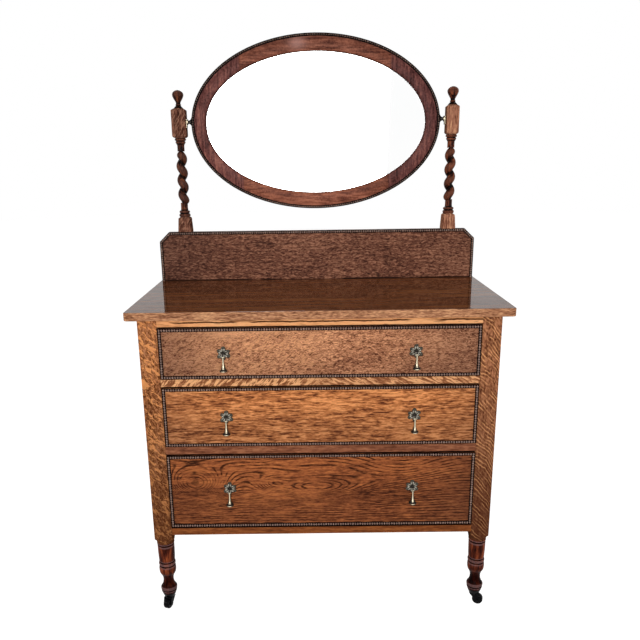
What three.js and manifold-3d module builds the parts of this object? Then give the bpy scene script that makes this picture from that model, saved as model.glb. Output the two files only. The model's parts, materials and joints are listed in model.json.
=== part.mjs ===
// Oak dressing chest: long drawers, a backboard, and an oval mirror swinging between twisted standards.
// Millimetres, +Z up, front towards -Y. The origin is on the floor, under the middle of the piece.
import * as THREE from "three";
import { mergeVertices } from "three/addons/utils/BufferGeometryUtils.js";
import Module from "manifold-3d";

const wasm = await Module();
wasm.setup();

// Clearances
const seatGap = 0.3;
const slideGap = 1;
const pinGap = 0.4;
const overrun = 5;
const weldDistance = 0.001;

// Top
const topWidth = 914;
const topDepth = 457;
const topThickness = 20;
const topCornerRadius = 16;
const topEdgeRadius = 6;
const frontOverhang = 22;
const sideOverhang = 26;

// Case
const postSize = 46;
const postToe = 10.5;
const bottomRailHeight = 20.8;
const lowerRailHeight = 20.5;
const upperRailHeight = 19;
const topRailHeight = 19.8;
const railDepth = 44;
const railEdge = 1.5;
const sideRailThickness = 20;
const sideRailHeight = 56;
const sideRailRecess = 1.5;
const sidePanelThickness = 9;
const sidePanelRecess = 8;
const runnerThickness = 19;
const runnerReach = 14;
const guideHeight = 24;
const backPanelThickness = 6;
const backPanelRecess = 6;
const backRailThickness = 18;
const backRailHeight = 44;

// Legs and castors
const legLength = 180.3;
const castorPlateRadius = 11.5;
const castorPlateThickness = 2;
const castorCrownRadius = 12.6;
const castorCrownThickness = 3;
const castorWheelRadius = 14;
const castorWheelWidth = 17;
const castorWheelEdge = 3.5;
const castorTrail = 10;
const castorCheekThickness = 3;
const castorCheekRearShare = 0.75;
const castorCheekFrontShare = 0.85;
const castorCheekBoss = 5.5;
const castorAxleRadius = 2.5;
const castorPinRadius = 3;
const castorPinLength = 12;
const castorRunningGap = 0.6;

// Drawers, from the upper to the lower
const upperFrontHeight = 125.7;
const middleFrontHeight = 152.3;
const lowerFrontHeight = 198.1;
const gapOverFront = 3;
const gapUnderFront = 1;
const gapUnderLowerFront = 3.3;
const frontThickness = 19;
const frontLap = 5;
const drawerRearGap = 25;
const drawerSideThickness = 10;
const drawerSideDrop = 5;
const drawerBackThickness = 9;
const drawerBackDrop = 9;
const drawerBackInset = 14;
const housingDepth = 3;
const drawerBottomThickness = 5;
const drawerBottomRise = 9;
const grooveDepth = 4;
const tailSpacing = 42;
const tailShare = 0.62;
const tailSlopeShare = 0.14;
const fewestTails = 2;
const beadWidth = 8.5;
const beadProud = 4.5;

// Pulls
const pullSpacing = 460;
const lowerPullRise = 8;
const rosetteRadius = 18.5;
const rosettePlateThickness = 1.6;
const rosettePetalThickness = 2;
const rosettePetalCount = 6;
const pullPivotOut = 12.5;
const pullStalkRadius = 1.6;
const pullEyeRadius = 4;
const pullEyeWidth = 3.4;
const pullBarRadius = 1.8;
const pullCheekThickness = 1.6;
const pullCheekWidth = 4.4;
const pullBridgeThickness = 2.2;
const dropLength = 41;
const dropFootRadius = 9.7;

// Backboard
const backboardInset = 5;
const backboardHeight = 140;
const backboardThickness = 16;
const backboardChamferWidth = 28;
const backboardChamferHeight = 27;
const backboardBeadWidth = 8;

// Mirror standards
const standardInset = 80.2;
const standardBlock = 38;
const standardSetBack = 12;
const standardBaseHeight = 41;
const standardBaseChamfer = 3;
const standardTail = 250;
const lowerCollarHeight = 25;
const lowerNeckHeight = 14.5;
const twistHeight = 138;
const twistPitch = 38.3;
const twistRadius = 9.9;
const twistThrow = 5.1;
const twistRunOutShare = 0.22;
const twistStartShare = 0.44;
const upperNeckHeight = 20;
const upperCollarHeight = 19;
const standardUpperHeight = 81;
const upperBlockTopChamfer = 7;
const upperBlockFootChamfer = 4;
const finialHeight = 44;

// Oval mirror
const mirrorSideGap = 15.8;
const mirrorHalfHeight = 229.3;
const mirrorSideWidth = 40.2;
const mirrorTopWidth = 44.6;
const mirrorFrameThickness = 20;
const mirrorFrameEdge = 2;
const mirrorRebateWidth = 7;
const mirrorRebateDepth = 12;
const mirrorBeadWidth = 8;
const mirrorBeadProud = 4.5;
const glassThickness = 4;
const mirrorBackThickness = 4;
const pivotRise = 7.6;
const pivotAboveBlockFoot = 41;
const pivotPinRadius = 4.5;
const bracketThickness = 2;
const bracketWidth = 14;
const bracketHeight = 23;
const bracketBossRadius = 7.5;
const bracketBossLength = 3;

// Facets
const turnedSides = 12;
const spindleSides = 10;
const twistStepsPerTurn = 9;
const smallSides = 8;
const ovalSides = 48;
const cornerSteps = 3;

// Levels and faces that follow from the sizes, in the case's own frame: its front face is y = 0
const castorHeight =
  2 * castorWheelRadius + castorRunningGap + castorCrownThickness + pinGap + castorPlateThickness;
const caseFoot = castorHeight + legLength;
const bottomRailFoot = caseFoot + postToe;
const bottomRailTop = bottomRailFoot + bottomRailHeight;
const lowerFrontFoot = bottomRailTop + gapUnderLowerFront;
const lowerRailFoot = lowerFrontFoot + lowerFrontHeight + gapOverFront;
const lowerRailTop = lowerRailFoot + lowerRailHeight;
const middleFrontFoot = lowerRailTop + gapUnderFront;
const upperRailFoot = middleFrontFoot + middleFrontHeight + gapOverFront;
const upperRailTop = upperRailFoot + upperRailHeight;
const upperFrontFoot = upperRailTop + gapUnderFront;
const topRailFoot = upperFrontFoot + upperFrontHeight + gapOverFront;
const caseTop = topRailFoot + topRailHeight;
const topFoot = caseTop + seatGap;
const topFace = topFoot + topThickness;
const caseWidth = topWidth - 2 * sideOverhang;
const caseDepth = topDepth - frontOverhang;
const postAxisX = (caseWidth - postSize) / 2;
const postAxisFront = postSize / 2;
const postAxisRear = caseDepth - postSize / 2;
const openingHalf = caseWidth / 2 - postSize;
const drawerHalf = openingHalf - slideGap;
const drawerDepth =
  caseDepth - backPanelRecess - backPanelThickness - backRailThickness - drawerRearGap;
const backboardFace = caseDepth - backboardThickness;
const backboardFoot = topFace + seatGap;
const backboardTop = backboardFoot + backboardHeight;
const standardX = topWidth / 2 - standardInset;
const standardAxisY = backboardFace + standardSetBack;
const standardFoot = backboardTop + seatGap;
const standardRear = standardAxisY + standardBlock / 2;
const collarFoot = standardFoot + standardBaseHeight;
const twistFoot = collarFoot + lowerCollarHeight + lowerNeckHeight;
const twistTop = twistFoot + twistHeight;
const upperCollarFoot = twistTop + upperNeckHeight;
const upperBlockFoot = upperCollarFoot + upperCollarHeight;
const upperBlockTop = upperBlockFoot + standardUpperHeight;
const pivotHeight = upperBlockFoot + pivotAboveBlockFoot;
const mirrorCentre = pivotHeight - pivotRise;
const mirrorHalfWidth = standardX - standardBlock / 2 - mirrorSideGap;
const sightHalfWidth = mirrorHalfWidth - mirrorSideWidth;
const sightHalfHeight = mirrorHalfHeight - mirrorTopWidth;
const pullReach = pullPivotOut + dropFootRadius;
const frontReach = Math.max(frontOverhang, pullReach);
const rearReach = Math.max(standardRear, caseDepth);
const middleY = (rearReach - frontReach) / 2;

// Outline of a turned leg: shares of the leg's length and of half the post
const legTurningShares = [
  [0, 0.54],
  [0.03, 0.68],
  [0.075, 0.86],
  [0.125, 0.91],
  [0.15, 0.84],
  [0.2, 0.66],
  [0.25, 0.58],
  [0.31, 0.6],
  [0.355, 0.74],
  [0.388, 0.92],
  [0.458, 0.92],
  [0.476, 0.87],
  [0.494, 0.92],
  [0.549, 0.92],
  [0.566, 0.885],
  [0.7, 0.93],
  [0.849, 0.96],
  [0.862, 0.9],
  [0.876, 0.96],
  [0.904, 0.97],
];
const shoulderShares = [
  [0.91, 0.98],
  [0.945, 1.08],
  [0.975, 1.25],
  [1, 1.457],
];

// Outlines of the standards' turnings: shares of the turning's height and of half the block
const lowerCollarShares = [
  [-0.1, 0.74],
  [0.45, 0.74],
  [0.53, 0.62],
  [0.6, 0.62],
  [0.66, 0.69],
  [0.9, 0.69],
];
const upperCollarShares = [
  [0.12, 0.56],
  [0.22, 0.73],
  [0.5, 0.73],
  [0.58, 0.66],
  [0.66, 0.66],
  [0.72, 0.785],
  [1.1, 0.785],
];
const finialShares = [
  [-0.1, 0.68],
  [0.02, 0.66],
  [0.12, 0.47],
  [0.265, 0.355],
  [0.35, 0.4],
  [0.5, 0.62],
  [0.62, 0.77],
  [0.72, 0.815],
  [0.84, 0.76],
  [0.94, 0.5],
  [1, 0.1],
];

// Outline of a pull's drop, foot upwards: shares of its length and of its foot's radius
const dropShares = [
  [0, 0.3],
  [0, 0.94],
  [0.02, 1],
  [0.045, 0.94],
  [0.055, 0.55],
  [0.1, 0.6],
  [0.16, 0.45],
  [0.28, 0.32],
  [0.6, 0.25],
];

// Outline of one rosette petal: shares of a petal's angle and of the rosette's radius
const petalTipShares = [
  [-0.5, 0.46],
  [-0.26, 0.7],
  [0, 1],
  [0.26, 0.7],
];
const petalLobeShares = [
  [-0.5, 0.42],
  [-0.22, 0.72],
  [0.22, 0.72],
];

// Finishes
function finish(colour, roughness, metalness = 0) {
  return new THREE.MeshStandardMaterial({ color: colour, roughness, metalness });
}
const oakTop = finish(0x573321, 0.3);
const oakCase = finish(0x8c5f3f, 0.45);
const oakLight = finish(0xbb8059, 0.45);
const oakFront = finish(0xac7454, 0.4);
const oakFrontRed = finish(0x834829, 0.4);
const oakDark = finish(0x5a3a30, 0.4);
const beadFinish = finish(0x33211c, 0.45);
const plainWood = finish(0xb99469, 0.7);
const silvering = finish(0xe8ecee, 0.04, 1);
const brass = finish(0x9a8a5c, 0.35, 1);
const castorBlack = finish(0x141414, 0.2);

// A closed mesh becomes a solid once its shared vertices are merged
function solid(geometry) {
  const bare = new THREE.BufferGeometry();
  bare.setAttribute("position", geometry.getAttribute("position"));
  if (geometry.index) bare.setIndex(geometry.index);
  const merged = mergeVertices(bare, weldDistance);
  const corners = merged.index.array;
  const kept = [];
  for (let i = 0; i < corners.length; i += 3) {
    const [a, b, c] = corners.subarray(i, i + 3);
    if (a !== b && b !== c && c !== a) kept.push(a, b, c);
  }
  const vertProperties = new Float32Array(merged.getAttribute("position").array);
  return new wasm.Manifold(new wasm.Mesh({ numProp: 3, vertProperties, triVerts: new Uint32Array(kept) }));
}

// Box between six faces
function block(x0, x1, y0, y1, z0, z1) {
  const geometry = new THREE.BoxGeometry(x1 - x0, y1 - y0, z1 - z0);
  geometry.translate((x0 + x1) / 2, (y0 + y1) / 2, (z0 + z1) / 2);
  return solid(geometry);
}

// Box that reaches as far to the left as to the right
function span(halfX, y0, y1, z0, z1) {
  return block(-halfX, halfX, y0, y1, z0, z1);
}

// Round bars along each axis
function barX(x0, x1, y, z, radius, sides = smallSides) {
  const geometry = new THREE.CylinderGeometry(radius, radius, x1 - x0, sides);
  geometry.rotateZ(Math.PI / 2);
  geometry.translate((x0 + x1) / 2, y, z);
  return solid(geometry);
}
function barY(x, y0, y1, z, radius, sides = smallSides) {
  const geometry = new THREE.CylinderGeometry(radius, radius, y1 - y0, sides);
  geometry.translate(x, (y0 + y1) / 2, z);
  return solid(geometry);
}
function barZ(x, y, z0, z1, radius, sides = smallSides) {
  const geometry = new THREE.CylinderGeometry(radius, radius, z1 - z0, sides);
  geometry.rotateX(Math.PI / 2);
  geometry.translate(x, y, (z0 + z1) / 2);
  return solid(geometry);
}

// Outline in the XZ plane, given thickness from its front face to its back face
function board(shape, yFront, yBack) {
  const geometry = new THREE.ExtrudeGeometry(shape, {
    depth: yBack - yFront,
    bevelEnabled: false,
    curveSegments: cornerSteps,
  });
  geometry.rotateX(Math.PI / 2);
  geometry.translate(0, yBack, 0);
  return solid(geometry);
}

// Outline in the YZ plane, given thickness along X
function sideBoard(points, x0, x1) {
  const shape = new THREE.Shape(points.map(([y, z]) => new THREE.Vector2(y, z)));
  const geometry = new THREE.ExtrudeGeometry(shape, { depth: x1 - x0, bevelEnabled: false });
  const basis = new THREE.Matrix4().makeBasis(
    new THREE.Vector3(0, 1, 0),
    new THREE.Vector3(0, 0, 1),
    new THREE.Vector3(1, 0, 0),
  );
  geometry.applyMatrix4(basis);
  geometry.translate(x0, 0, 0);
  return solid(geometry);
}

// Ring of corners about a point of the vertical axis
function ring(x, y, z, radius, sides, turn = 0) {
  const corners = [];
  for (let i = 0; i < sides; i++) {
    const angle = turn + (2 * Math.PI * i) / sides;
    corners.push([x + radius * Math.cos(angle), y + radius * Math.sin(angle), z]);
  }
  return corners;
}

// Skin over rings of as many corners each: capped at both ends, or closed round on itself
function loft(rings, closed = false) {
  const positions = [];
  const index = [];
  const count = rings[0].length;
  rings.forEach((corners) => corners.forEach((corner) => positions.push(...corner)));
  const bands = closed ? rings.length : rings.length - 1;
  for (let k = 0; k < bands; k++) {
    const low = k * count;
    const high = ((k + 1) % rings.length) * count;
    for (let i = 0; i < count; i++) {
      const j = (i + 1) % count;
      index.push(low + i, low + j, high + j, low + i, high + j, high + i);
    }
  }
  if (!closed) {
    const last = (rings.length - 1) * count;
    for (let i = 1; i < count - 1; i++) {
      index.push(0, i + 1, i);
      index.push(last, last + i, last + i + 1);
    }
  }
  const geometry = new THREE.BufferGeometry();
  geometry.setAttribute("position", new THREE.Float32BufferAttribute(positions, 3));
  geometry.setIndex(index);
  return solid(geometry);
}

// Round turning on a vertical axis, from pairs of height and radius
function turning(x, y, outline, sides, turn = Math.PI / sides) {
  return loft(outline.map(([z, radius]) => ring(x, y, z, radius, sides, turn)));
}

// Square block on a vertical axis, from pairs of height and half width
function squareTurning(x, y, outline) {
  return loft(outline.map(([z, half]) => ring(x, y, z, half * Math.SQRT2, 4, Math.PI / 4)));
}

// Heights and radii from a table of shares
function scaled(shares, foot, height, radius) {
  return shares.map(([along, across]) => [foot + along * height, across * radius]);
}

// Strip with mitred corners along an outline in the XZ plane, clockwise as seen from the front
function strip(path, section, face, closed) {
  const last = path.length - 1;
  const direction = (a, b) => {
    const run = [b[0] - a[0], b[1] - a[1]];
    const length = Math.hypot(...run);
    return [run[0] / length, run[1] / length];
  };
  const rings = path.map((corner, i) => {
    const before = closed || i > 0 ? direction(path[(i + last) % path.length], corner) : null;
    const after = closed || i < last ? direction(corner, path[(i + 1) % path.length]) : null;
    const a = before ?? after;
    const b = after ?? before;
    const inward = [a[1] + b[1], -(a[0] + b[0])];
    const stretch = 2 / (inward[0] ** 2 + inward[1] ** 2);
    return section.map(([across, proud]) => [
      corner[0] + inward[0] * stretch * across,
      face - proud,
      corner[1] + inward[1] * stretch * across,
    ]);
  });
  return loft(rings, closed);
}

// Section of a bead moulding before it is carved: how far inwards, and how far proud of the face
function beadSection(width, proud) {
  const edge = width / 4;
  return [
    [0, seatGap],
    [0, proud / 2],
    [edge, proud],
    [width - edge, proud],
    [width, proud / 2],
    [width, seatGap],
  ];
}

// Oval ring or disc through pairs of half axes, each at its own depth
function oval(stations, centreZ, closed) {
  const rings = stations.map(([halfWidth, halfHeight, y]) => {
    const corners = [];
    for (let i = 0; i < ovalSides; i++) {
      const angle = (2 * Math.PI * i) / ovalSides;
      corners.push([halfWidth * Math.cos(angle), y, centreZ + halfHeight * Math.sin(angle)]);
    }
    return corners;
  });
  return loft(rings.reverse(), closed);
}

// Named mesh, mirrored to the left where side is -1
function place(parent, name, shape, material, side = 1) {
  const made = shape.getMesh();
  const geometry = new THREE.BufferGeometry();
  geometry.setAttribute("position", new THREE.BufferAttribute(made.vertProperties, 3));
  geometry.setIndex(new THREE.BufferAttribute(made.triVerts, 1));
  geometry.computeVertexNormals();
  const mesh = new THREE.Mesh(geometry, material);
  mesh.name = name;
  mesh.scale.x = side;
  parent.add(mesh);
}

const sides = [
  ["left", -1],
  ["right", 1],
];

// Top: a board with rounded front and side edges, square at the back
function topBoard() {
  const left = -topWidth / 2;
  const right = topWidth / 2;
  const front = -frontOverhang;
  const back = caseDepth + overrun + topEdgeRadius;
  const r = topCornerRadius;
  const outline = new THREE.Shape();
  outline.moveTo(left + r, front);
  outline.absarc(right - r, front + r, r, -Math.PI / 2, 0);
  outline.lineTo(right, back);
  outline.lineTo(left, back);
  outline.absarc(left + r, front + r, r, Math.PI, 1.5 * Math.PI);
  const geometry = new THREE.ExtrudeGeometry(outline, {
    depth: topThickness - 2 * topEdgeRadius,
    bevelThickness: topEdgeRadius,
    bevelSize: topEdgeRadius,
    bevelOffset: -topEdgeRadius,
    bevelSegments: 2,
    curveSegments: cornerSteps,
  });
  geometry.translate(0, 0, topFoot + topEdgeRadius);
  return solid(geometry).intersect(
    span(topWidth, front - overrun, caseDepth, topFoot - overrun, topFace + overrun),
  );
}

// Corner post: square above, turned leg below, with the castor's plate on its foot
function cornerPost(axisY) {
  const half = postSize / 2;
  const leg = scaled([...legTurningShares, ...shoulderShares], castorHeight, legLength, half);
  const plateFoot = castorHeight - castorPlateThickness;
  const outline = [
    [plateFoot, castorPlateRadius],
    [castorHeight, castorPlateRadius],
    ...leg,
    [caseTop + overrun, leg[leg.length - 1][1]],
  ];
  const bore = barZ(
    postAxisX,
    axisY,
    plateFoot - overrun,
    plateFoot + castorPinLength + 2 * pinGap,
    castorPinRadius + pinGap,
  );
  return turning(postAxisX, axisY, outline, turnedSides)
    .intersect(
      block(postAxisX - half, postAxisX + half, axisY - half, axisY + half, plateFoot - overrun, caseTop),
    )
    .subtract(bore);
}

// Front rail with eased front edges
function frontRail(foot, height) {
  const half = openingHalf - seatGap;
  const outline = [
    [0, foot + railEdge],
    [railEdge, foot],
    [railDepth, foot],
    [railDepth, foot + height],
    [railEdge, foot + height],
    [0, foot + height - railEdge],
  ];
  return sideBoard(outline, -half, half);
}

const levels = [
  ["upper", upperRailTop, upperFrontFoot, upperFrontHeight, 0],
  ["middle", lowerRailTop, middleFrontFoot, middleFrontHeight, 0],
  ["lower", bottomRailTop, lowerFrontFoot, lowerFrontHeight, lowerPullRise],
];

// Side between two posts: a recessed panel with rails above and below, and what carries the drawers
function caseSide() {
  const outside = caseWidth / 2;
  const front = postSize + seatGap;
  const back = caseDepth - postSize - seatGap;
  const panelOuter = outside - sidePanelRecess;
  const panelMiddle = panelOuter - sidePanelThickness / 2;
  const railOuter = outside - sideRailRecess;
  const railInner = railOuter - sideRailThickness;
  const rail = (foot, top) => block(railInner, railOuter, front, back, foot, top);
  const inner = openingHalf - runnerReach;
  let shape = block(
    panelOuter - sidePanelThickness,
    panelOuter,
    front,
    back,
    bottomRailFoot,
    caseTop,
  );
  shape = shape.add(rail(bottomRailFoot, bottomRailFoot + sideRailHeight));
  shape = shape.add(rail(caseTop - sideRailHeight, caseTop));
  for (const [, railTop] of levels) {
    shape = shape.add(block(inner, panelMiddle, front, back, railTop - runnerThickness, railTop));
    const guideTop = railTop + guideHeight;
    shape = shape.add(block(openingHalf, panelMiddle, front, back, railTop - seatGap, guideTop));
  }
  return shape.add(block(inner, panelMiddle, front, back, topRailFoot, caseTop));
}

// Back: a thin panel between the rear posts, with three rails on its inside
function caseBack() {
  const half = openingHalf - seatGap;
  const back = caseDepth - backPanelRecess;
  const front = back - backPanelThickness;
  const railFront = front - backRailThickness;
  const railBack = front + backPanelThickness / 2;
  const railFeet = [bottomRailFoot, lowerRailTop - backRailHeight, caseTop - backRailHeight];
  return railFeet.reduce(
    (shape, foot) => shape.add(span(half, railFront, railBack, foot, foot + backRailHeight)),
    span(half, front, back, bottomRailFoot, caseTop),
  );
}

// One dovetail, wide at its end inside the front, narrow at the shoulder
function dovetail(x0, x1, endY, shoulderY, centreZ, wide, growth) {
  const slope = (shoulderY - endY) * tailSlopeShare;
  const end = wide / 2 + growth;
  const narrow = end - slope;
  const outline = [
    [endY, centreZ - end],
    [shoulderY, centreZ - narrow],
    [shoulderY, centreZ + narrow],
    [endY, centreZ + end],
  ];
  return sideBoard(outline, x0, x1);
}

// Heights of the dovetails along a drawer's corner
function tailHeights(foot, top) {
  const count = Math.max(fewestTails, Math.round((top - foot) / tailSpacing));
  const pitch = (top - foot) / count;
  return Array.from({ length: count }, (_, i) => [foot + (i + 0.5) * pitch, pitch * tailShare]);
}

// One drawer box, which runs on the side of the case at its level
function drawer(parent, level, railTop, frontFoot, frontHeight, frontFinish) {
  const sideFoot = railTop + seatGap;
  const sideTop = frontFoot + frontHeight - drawerSideDrop;
  const frontTop = frontFoot + frontHeight;
  const sideInner = drawerHalf - drawerSideThickness;
  const bottomFoot = frontFoot + drawerBottomRise;
  const bottomTop = bottomFoot + drawerBottomThickness;
  const backY = drawerDepth - drawerBackInset;
  const tails = tailHeights(frontFoot, sideTop);
  const groove = (half, y0, y1) => span(half, y0, y1, bottomFoot - seatGap, bottomTop + seatGap);

  const grooveFront = frontThickness - grooveDepth;
  let front = span(drawerHalf, 0, frontThickness, frontFoot, frontTop);
  front = front.subtract(groove(sideInner - seatGap, grooveFront, frontThickness + overrun));
  let side = block(
    sideInner,
    drawerHalf,
    frontThickness + seatGap,
    drawerDepth,
    sideFoot,
    sideTop,
  );
  for (const [centreZ, wide] of tails) {
    const shoulder = frontThickness + seatGap + grooveDepth;
    side = side.add(dovetail(sideInner, drawerHalf, frontLap + seatGap, shoulder, centreZ, wide, 0));
    for (const end of [-drawerHalf - overrun, sideInner - seatGap]) {
      const socketLength = drawerSideThickness + seatGap + overrun;
      front = front.subtract(
        dovetail(end, end + socketLength, frontLap, frontThickness + overrun, centreZ, wide, seatGap),
      );
    }
  }
  side = side.subtract(groove(sideInner + grooveDepth, frontThickness, drawerDepth + overrun));
  side = side.subtract(
    block(
      sideInner - overrun,
      sideInner + housingDepth,
      backY - drawerBackThickness - seatGap,
      backY + seatGap,
      bottomTop,
      sideTop + overrun,
    ),
  );
  place(parent, `drawer_${level}_front`, front, frontFinish);
  for (const [name, hand] of sides) place(parent, `drawer_${level}_side_${name}`, side, plainWood, hand);
  place(
    parent,
    `drawer_${level}_back`,
    span(
      sideInner + housingDepth - seatGap,
      backY - drawerBackThickness,
      backY,
      bottomTop + seatGap,
      sideTop - drawerBackDrop,
    ),
    plainWood,
  );
  const tongueHalf = sideInner - 2 * seatGap;
  const panelHalf = sideInner + grooveDepth - seatGap;
  const panelFront = frontThickness + seatGap;
  const tongue = span(tongueHalf, grooveFront + seatGap, panelFront + overrun, bottomFoot, bottomTop);
  place(
    parent,
    `drawer_${level}_bottom`,
    span(panelHalf, panelFront, drawerDepth - seatGap, bottomFoot, bottomTop).add(tongue),
    plainWood,
  );
  const corners = [
    [-drawerHalf, frontFoot],
    [-drawerHalf, frontTop],
    [drawerHalf, frontTop],
    [drawerHalf, frontFoot],
  ];
  place(
    parent,
    `drawer_${level}_moulding`,
    strip(corners, beadSection(beadWidth, beadProud), 0, true),
    beadFinish,
  );
}

// Outline of a rosette whose petals repeat round its centre
function petals(x, z, shares) {
  const points = [];
  for (let k = 0; k < rosettePetalCount; k++) {
    for (const [turn, reach] of shares) {
      const angle = Math.PI / 2 + ((k + turn) * 2 * Math.PI) / rosettePetalCount;
      const radius = reach * rosetteRadius;
      points.push(new THREE.Vector2(x + radius * Math.cos(angle), z + radius * Math.sin(angle)));
    }
  }
  return new THREE.Shape(points);
}

// Rosette with the eye that carries its drop
function rosette(x, z) {
  const plateFront = -seatGap - rosettePlateThickness;
  const petalFront = plateFront - rosettePetalThickness;
  const plate = board(petals(x, z, petalTipShares), plateFront, -seatGap);
  const lobes = board(petals(x, z, petalLobeShares), petalFront, plateFront);
  const stalk = barY(x, -pullPivotOut, plateFront, z, pullStalkRadius);
  const eye = barX(x - pullEyeWidth / 2, x + pullEyeWidth / 2, -pullPivotOut, z, pullEyeRadius);
  const bore = barX(x - overrun, x + overrun, -pullPivotOut, z, pullBarRadius + pinGap);
  return plate.add(lobes).add(stalk).add(eye).subtract(bore);
}

// Drop with a bar that hangs in the rosette's eye
function drop(x, z) {
  const cheekInner = pullEyeWidth / 2 + pinGap;
  const cheekOuter = cheekInner + pullCheekThickness;
  const bridgeTop = z - pullEyeRadius - pinGap;
  const bridgeFoot = bridgeTop - pullBridgeThickness;
  const front = -pullPivotOut - pullCheekWidth / 2;
  const back = -pullPivotOut + pullCheekWidth / 2;
  const foot = z - dropLength;
  const stem = scaled(dropShares, foot, dropLength, dropFootRadius);
  stem.push([bridgeFoot + pullBridgeThickness / 2, stem[stem.length - 1][1]]);
  let shape = turning(x, -pullPivotOut, stem, smallSides, 0);
  shape = shape.add(block(x - cheekOuter, x + cheekOuter, front, back, bridgeFoot, bridgeTop));
  shape = shape.add(barX(x - cheekOuter, x + cheekOuter, -pullPivotOut, z, pullBarRadius));
  for (const x0 of [x - cheekOuter, x + cheekInner]) {
    const x1 = x0 + pullCheekThickness;
    shape = shape.add(block(x0, x1, front, back, bridgeFoot, z));
    shape = shape.add(barX(x0, x1, -pullPivotOut, z, pullCheekWidth / 2));
  }
  return shape;
}

// Backboard outline, from its left foot over the chamfered corners to its right foot
const backboardHalf = topWidth / 2 - backboardInset;
const backboardCorners = [
  [-backboardHalf, backboardFoot],
  [-backboardHalf, backboardTop - backboardChamferHeight],
  [-backboardHalf + backboardChamferWidth, backboardTop],
  [backboardHalf - backboardChamferWidth, backboardTop],
  [backboardHalf, backboardTop - backboardChamferHeight],
  [backboardHalf, backboardFoot],
];
function backboard() {
  const shape = new THREE.Shape(backboardCorners.map(([x, z]) => new THREE.Vector2(x, z)));
  return board(shape, backboardFace, caseDepth);
}

// Mirror standard: base block and tail, collar, single twist, collar, block with the pivot, finial
function standard() {
  const half = standardBlock / 2;
  const base = squareTurning(standardX, standardAxisY, [
    [standardFoot, half],
    [collarFoot - standardBaseChamfer, half],
    [collarFoot, half - standardBaseChamfer],
  ]);
  const tail = block(
    standardX - half,
    standardX + half,
    caseDepth + seatGap,
    standardRear,
    standardFoot - standardTail,
    standardFoot + standardBaseHeight / 2,
  );
  const upper = squareTurning(standardX, standardAxisY, [
    [upperBlockFoot, half - upperBlockFootChamfer],
    [upperBlockFoot + upperBlockFootChamfer, half],
    [upperBlockTop - upperBlockTopChamfer, half],
    [upperBlockTop, half - upperBlockTopChamfer],
  ]);
  const section = (z, radius, x = 0, y = 0) =>
    ring(standardX + x, standardAxisY + y, z, radius, spindleSides, Math.PI / spindleSides);
  const sections = (shares, foot, height) =>
    scaled(shares, foot, height, half).map(([z, r]) => section(z, r));
  const spindle = sections(lowerCollarShares, collarFoot, lowerCollarHeight);
  spindle.push(section(collarFoot + lowerCollarHeight, twistRadius));
  const turns = twistHeight / twistPitch;
  const steps = Math.round(turns * twistStepsPerTurn);
  for (let i = 0; i <= steps; i++) {
    const along = i / steps;
    const runOut = Math.min(1, (Math.min(along, 1 - along) * turns) / twistRunOutShare);
    const offset = twistThrow * Math.sin((runOut * Math.PI) / 2);
    const angle = Math.PI - 2 * Math.PI * (turns * (1 - along) - twistStartShare);
    const z = twistFoot + along * twistHeight;
    spindle.push(section(z, twistRadius, offset * Math.cos(angle), offset * Math.sin(angle)));
  }
  spindle.push(section(upperCollarFoot, twistRadius));
  spindle.push(...sections(upperCollarShares, upperCollarFoot, upperCollarHeight));
  const finial = sections(finialShares, upperBlockTop, finialHeight);
  return base.add(tail).add(upper).add(loft(spindle)).add(loft(finial));
}

// Brass bracket on a standard's inner face, with the bore for the mirror's pin
function pivotBracket() {
  const plateOuter = standardX - standardBlock / 2 - seatGap;
  const plateInner = plateOuter - bracketThickness;
  const bossInner = plateInner - bracketBossLength;
  const plate = block(
    plateInner,
    plateOuter,
    standardAxisY - bracketWidth / 2,
    standardAxisY + bracketWidth / 2,
    pivotHeight + bracketBossRadius - bracketHeight,
    pivotHeight,
  );
  const round = (x0, x1, radius) => barX(x0, x1, standardAxisY, pivotHeight, radius, turnedSides);
  return plate
    .add(round(bossInner, plateOuter, bracketBossRadius))
    .subtract(round(bossInner - overrun, plateOuter + overrun, pivotPinRadius + pinGap));
}

// Oval frame of the mirror, rebated behind for the glass, with a pivot pin at each side
const frameFront = standardAxisY - mirrorFrameThickness / 2;
const frameBack = frameFront + mirrorFrameThickness;
const rebateFace = frameBack - mirrorRebateDepth;
function mirrorFrame() {
  const e = mirrorFrameEdge;
  const w = mirrorRebateWidth;
  const shape = oval(
    [
      [mirrorHalfWidth, mirrorHalfHeight, frameBack],
      [sightHalfWidth + w, sightHalfHeight + w, frameBack],
      [sightHalfWidth + w, sightHalfHeight + w, rebateFace],
      [sightHalfWidth, sightHalfHeight, rebateFace],
      [sightHalfWidth, sightHalfHeight, frameFront + e],
      [sightHalfWidth + e, sightHalfHeight + e, frameFront],
      [mirrorHalfWidth - e, mirrorHalfHeight - e, frameFront],
      [mirrorHalfWidth, mirrorHalfHeight, frameFront + e],
    ],
    mirrorCentre,
    true,
  );
  const pinEnd = standardX - standardBlock / 2 - 2 * seatGap;
  const pinStart = mirrorHalfWidth - beadWidth;
  return shape
    .add(barX(pinStart, pinEnd, standardAxisY, pivotHeight, pivotPinRadius, turnedSides))
    .add(barX(-pinEnd, -pinStart, standardAxisY, pivotHeight, pivotPinRadius, turnedSides));
}

// Flat oval in the rebate, behind the sight edge
function mirrorDisc(front, thickness) {
  const grow = mirrorRebateWidth - seatGap;
  return oval(
    [front, front + thickness].map((y) => [sightHalfWidth + grow, sightHalfHeight + grow, y]),
    mirrorCentre,
    false,
  );
}

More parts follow.
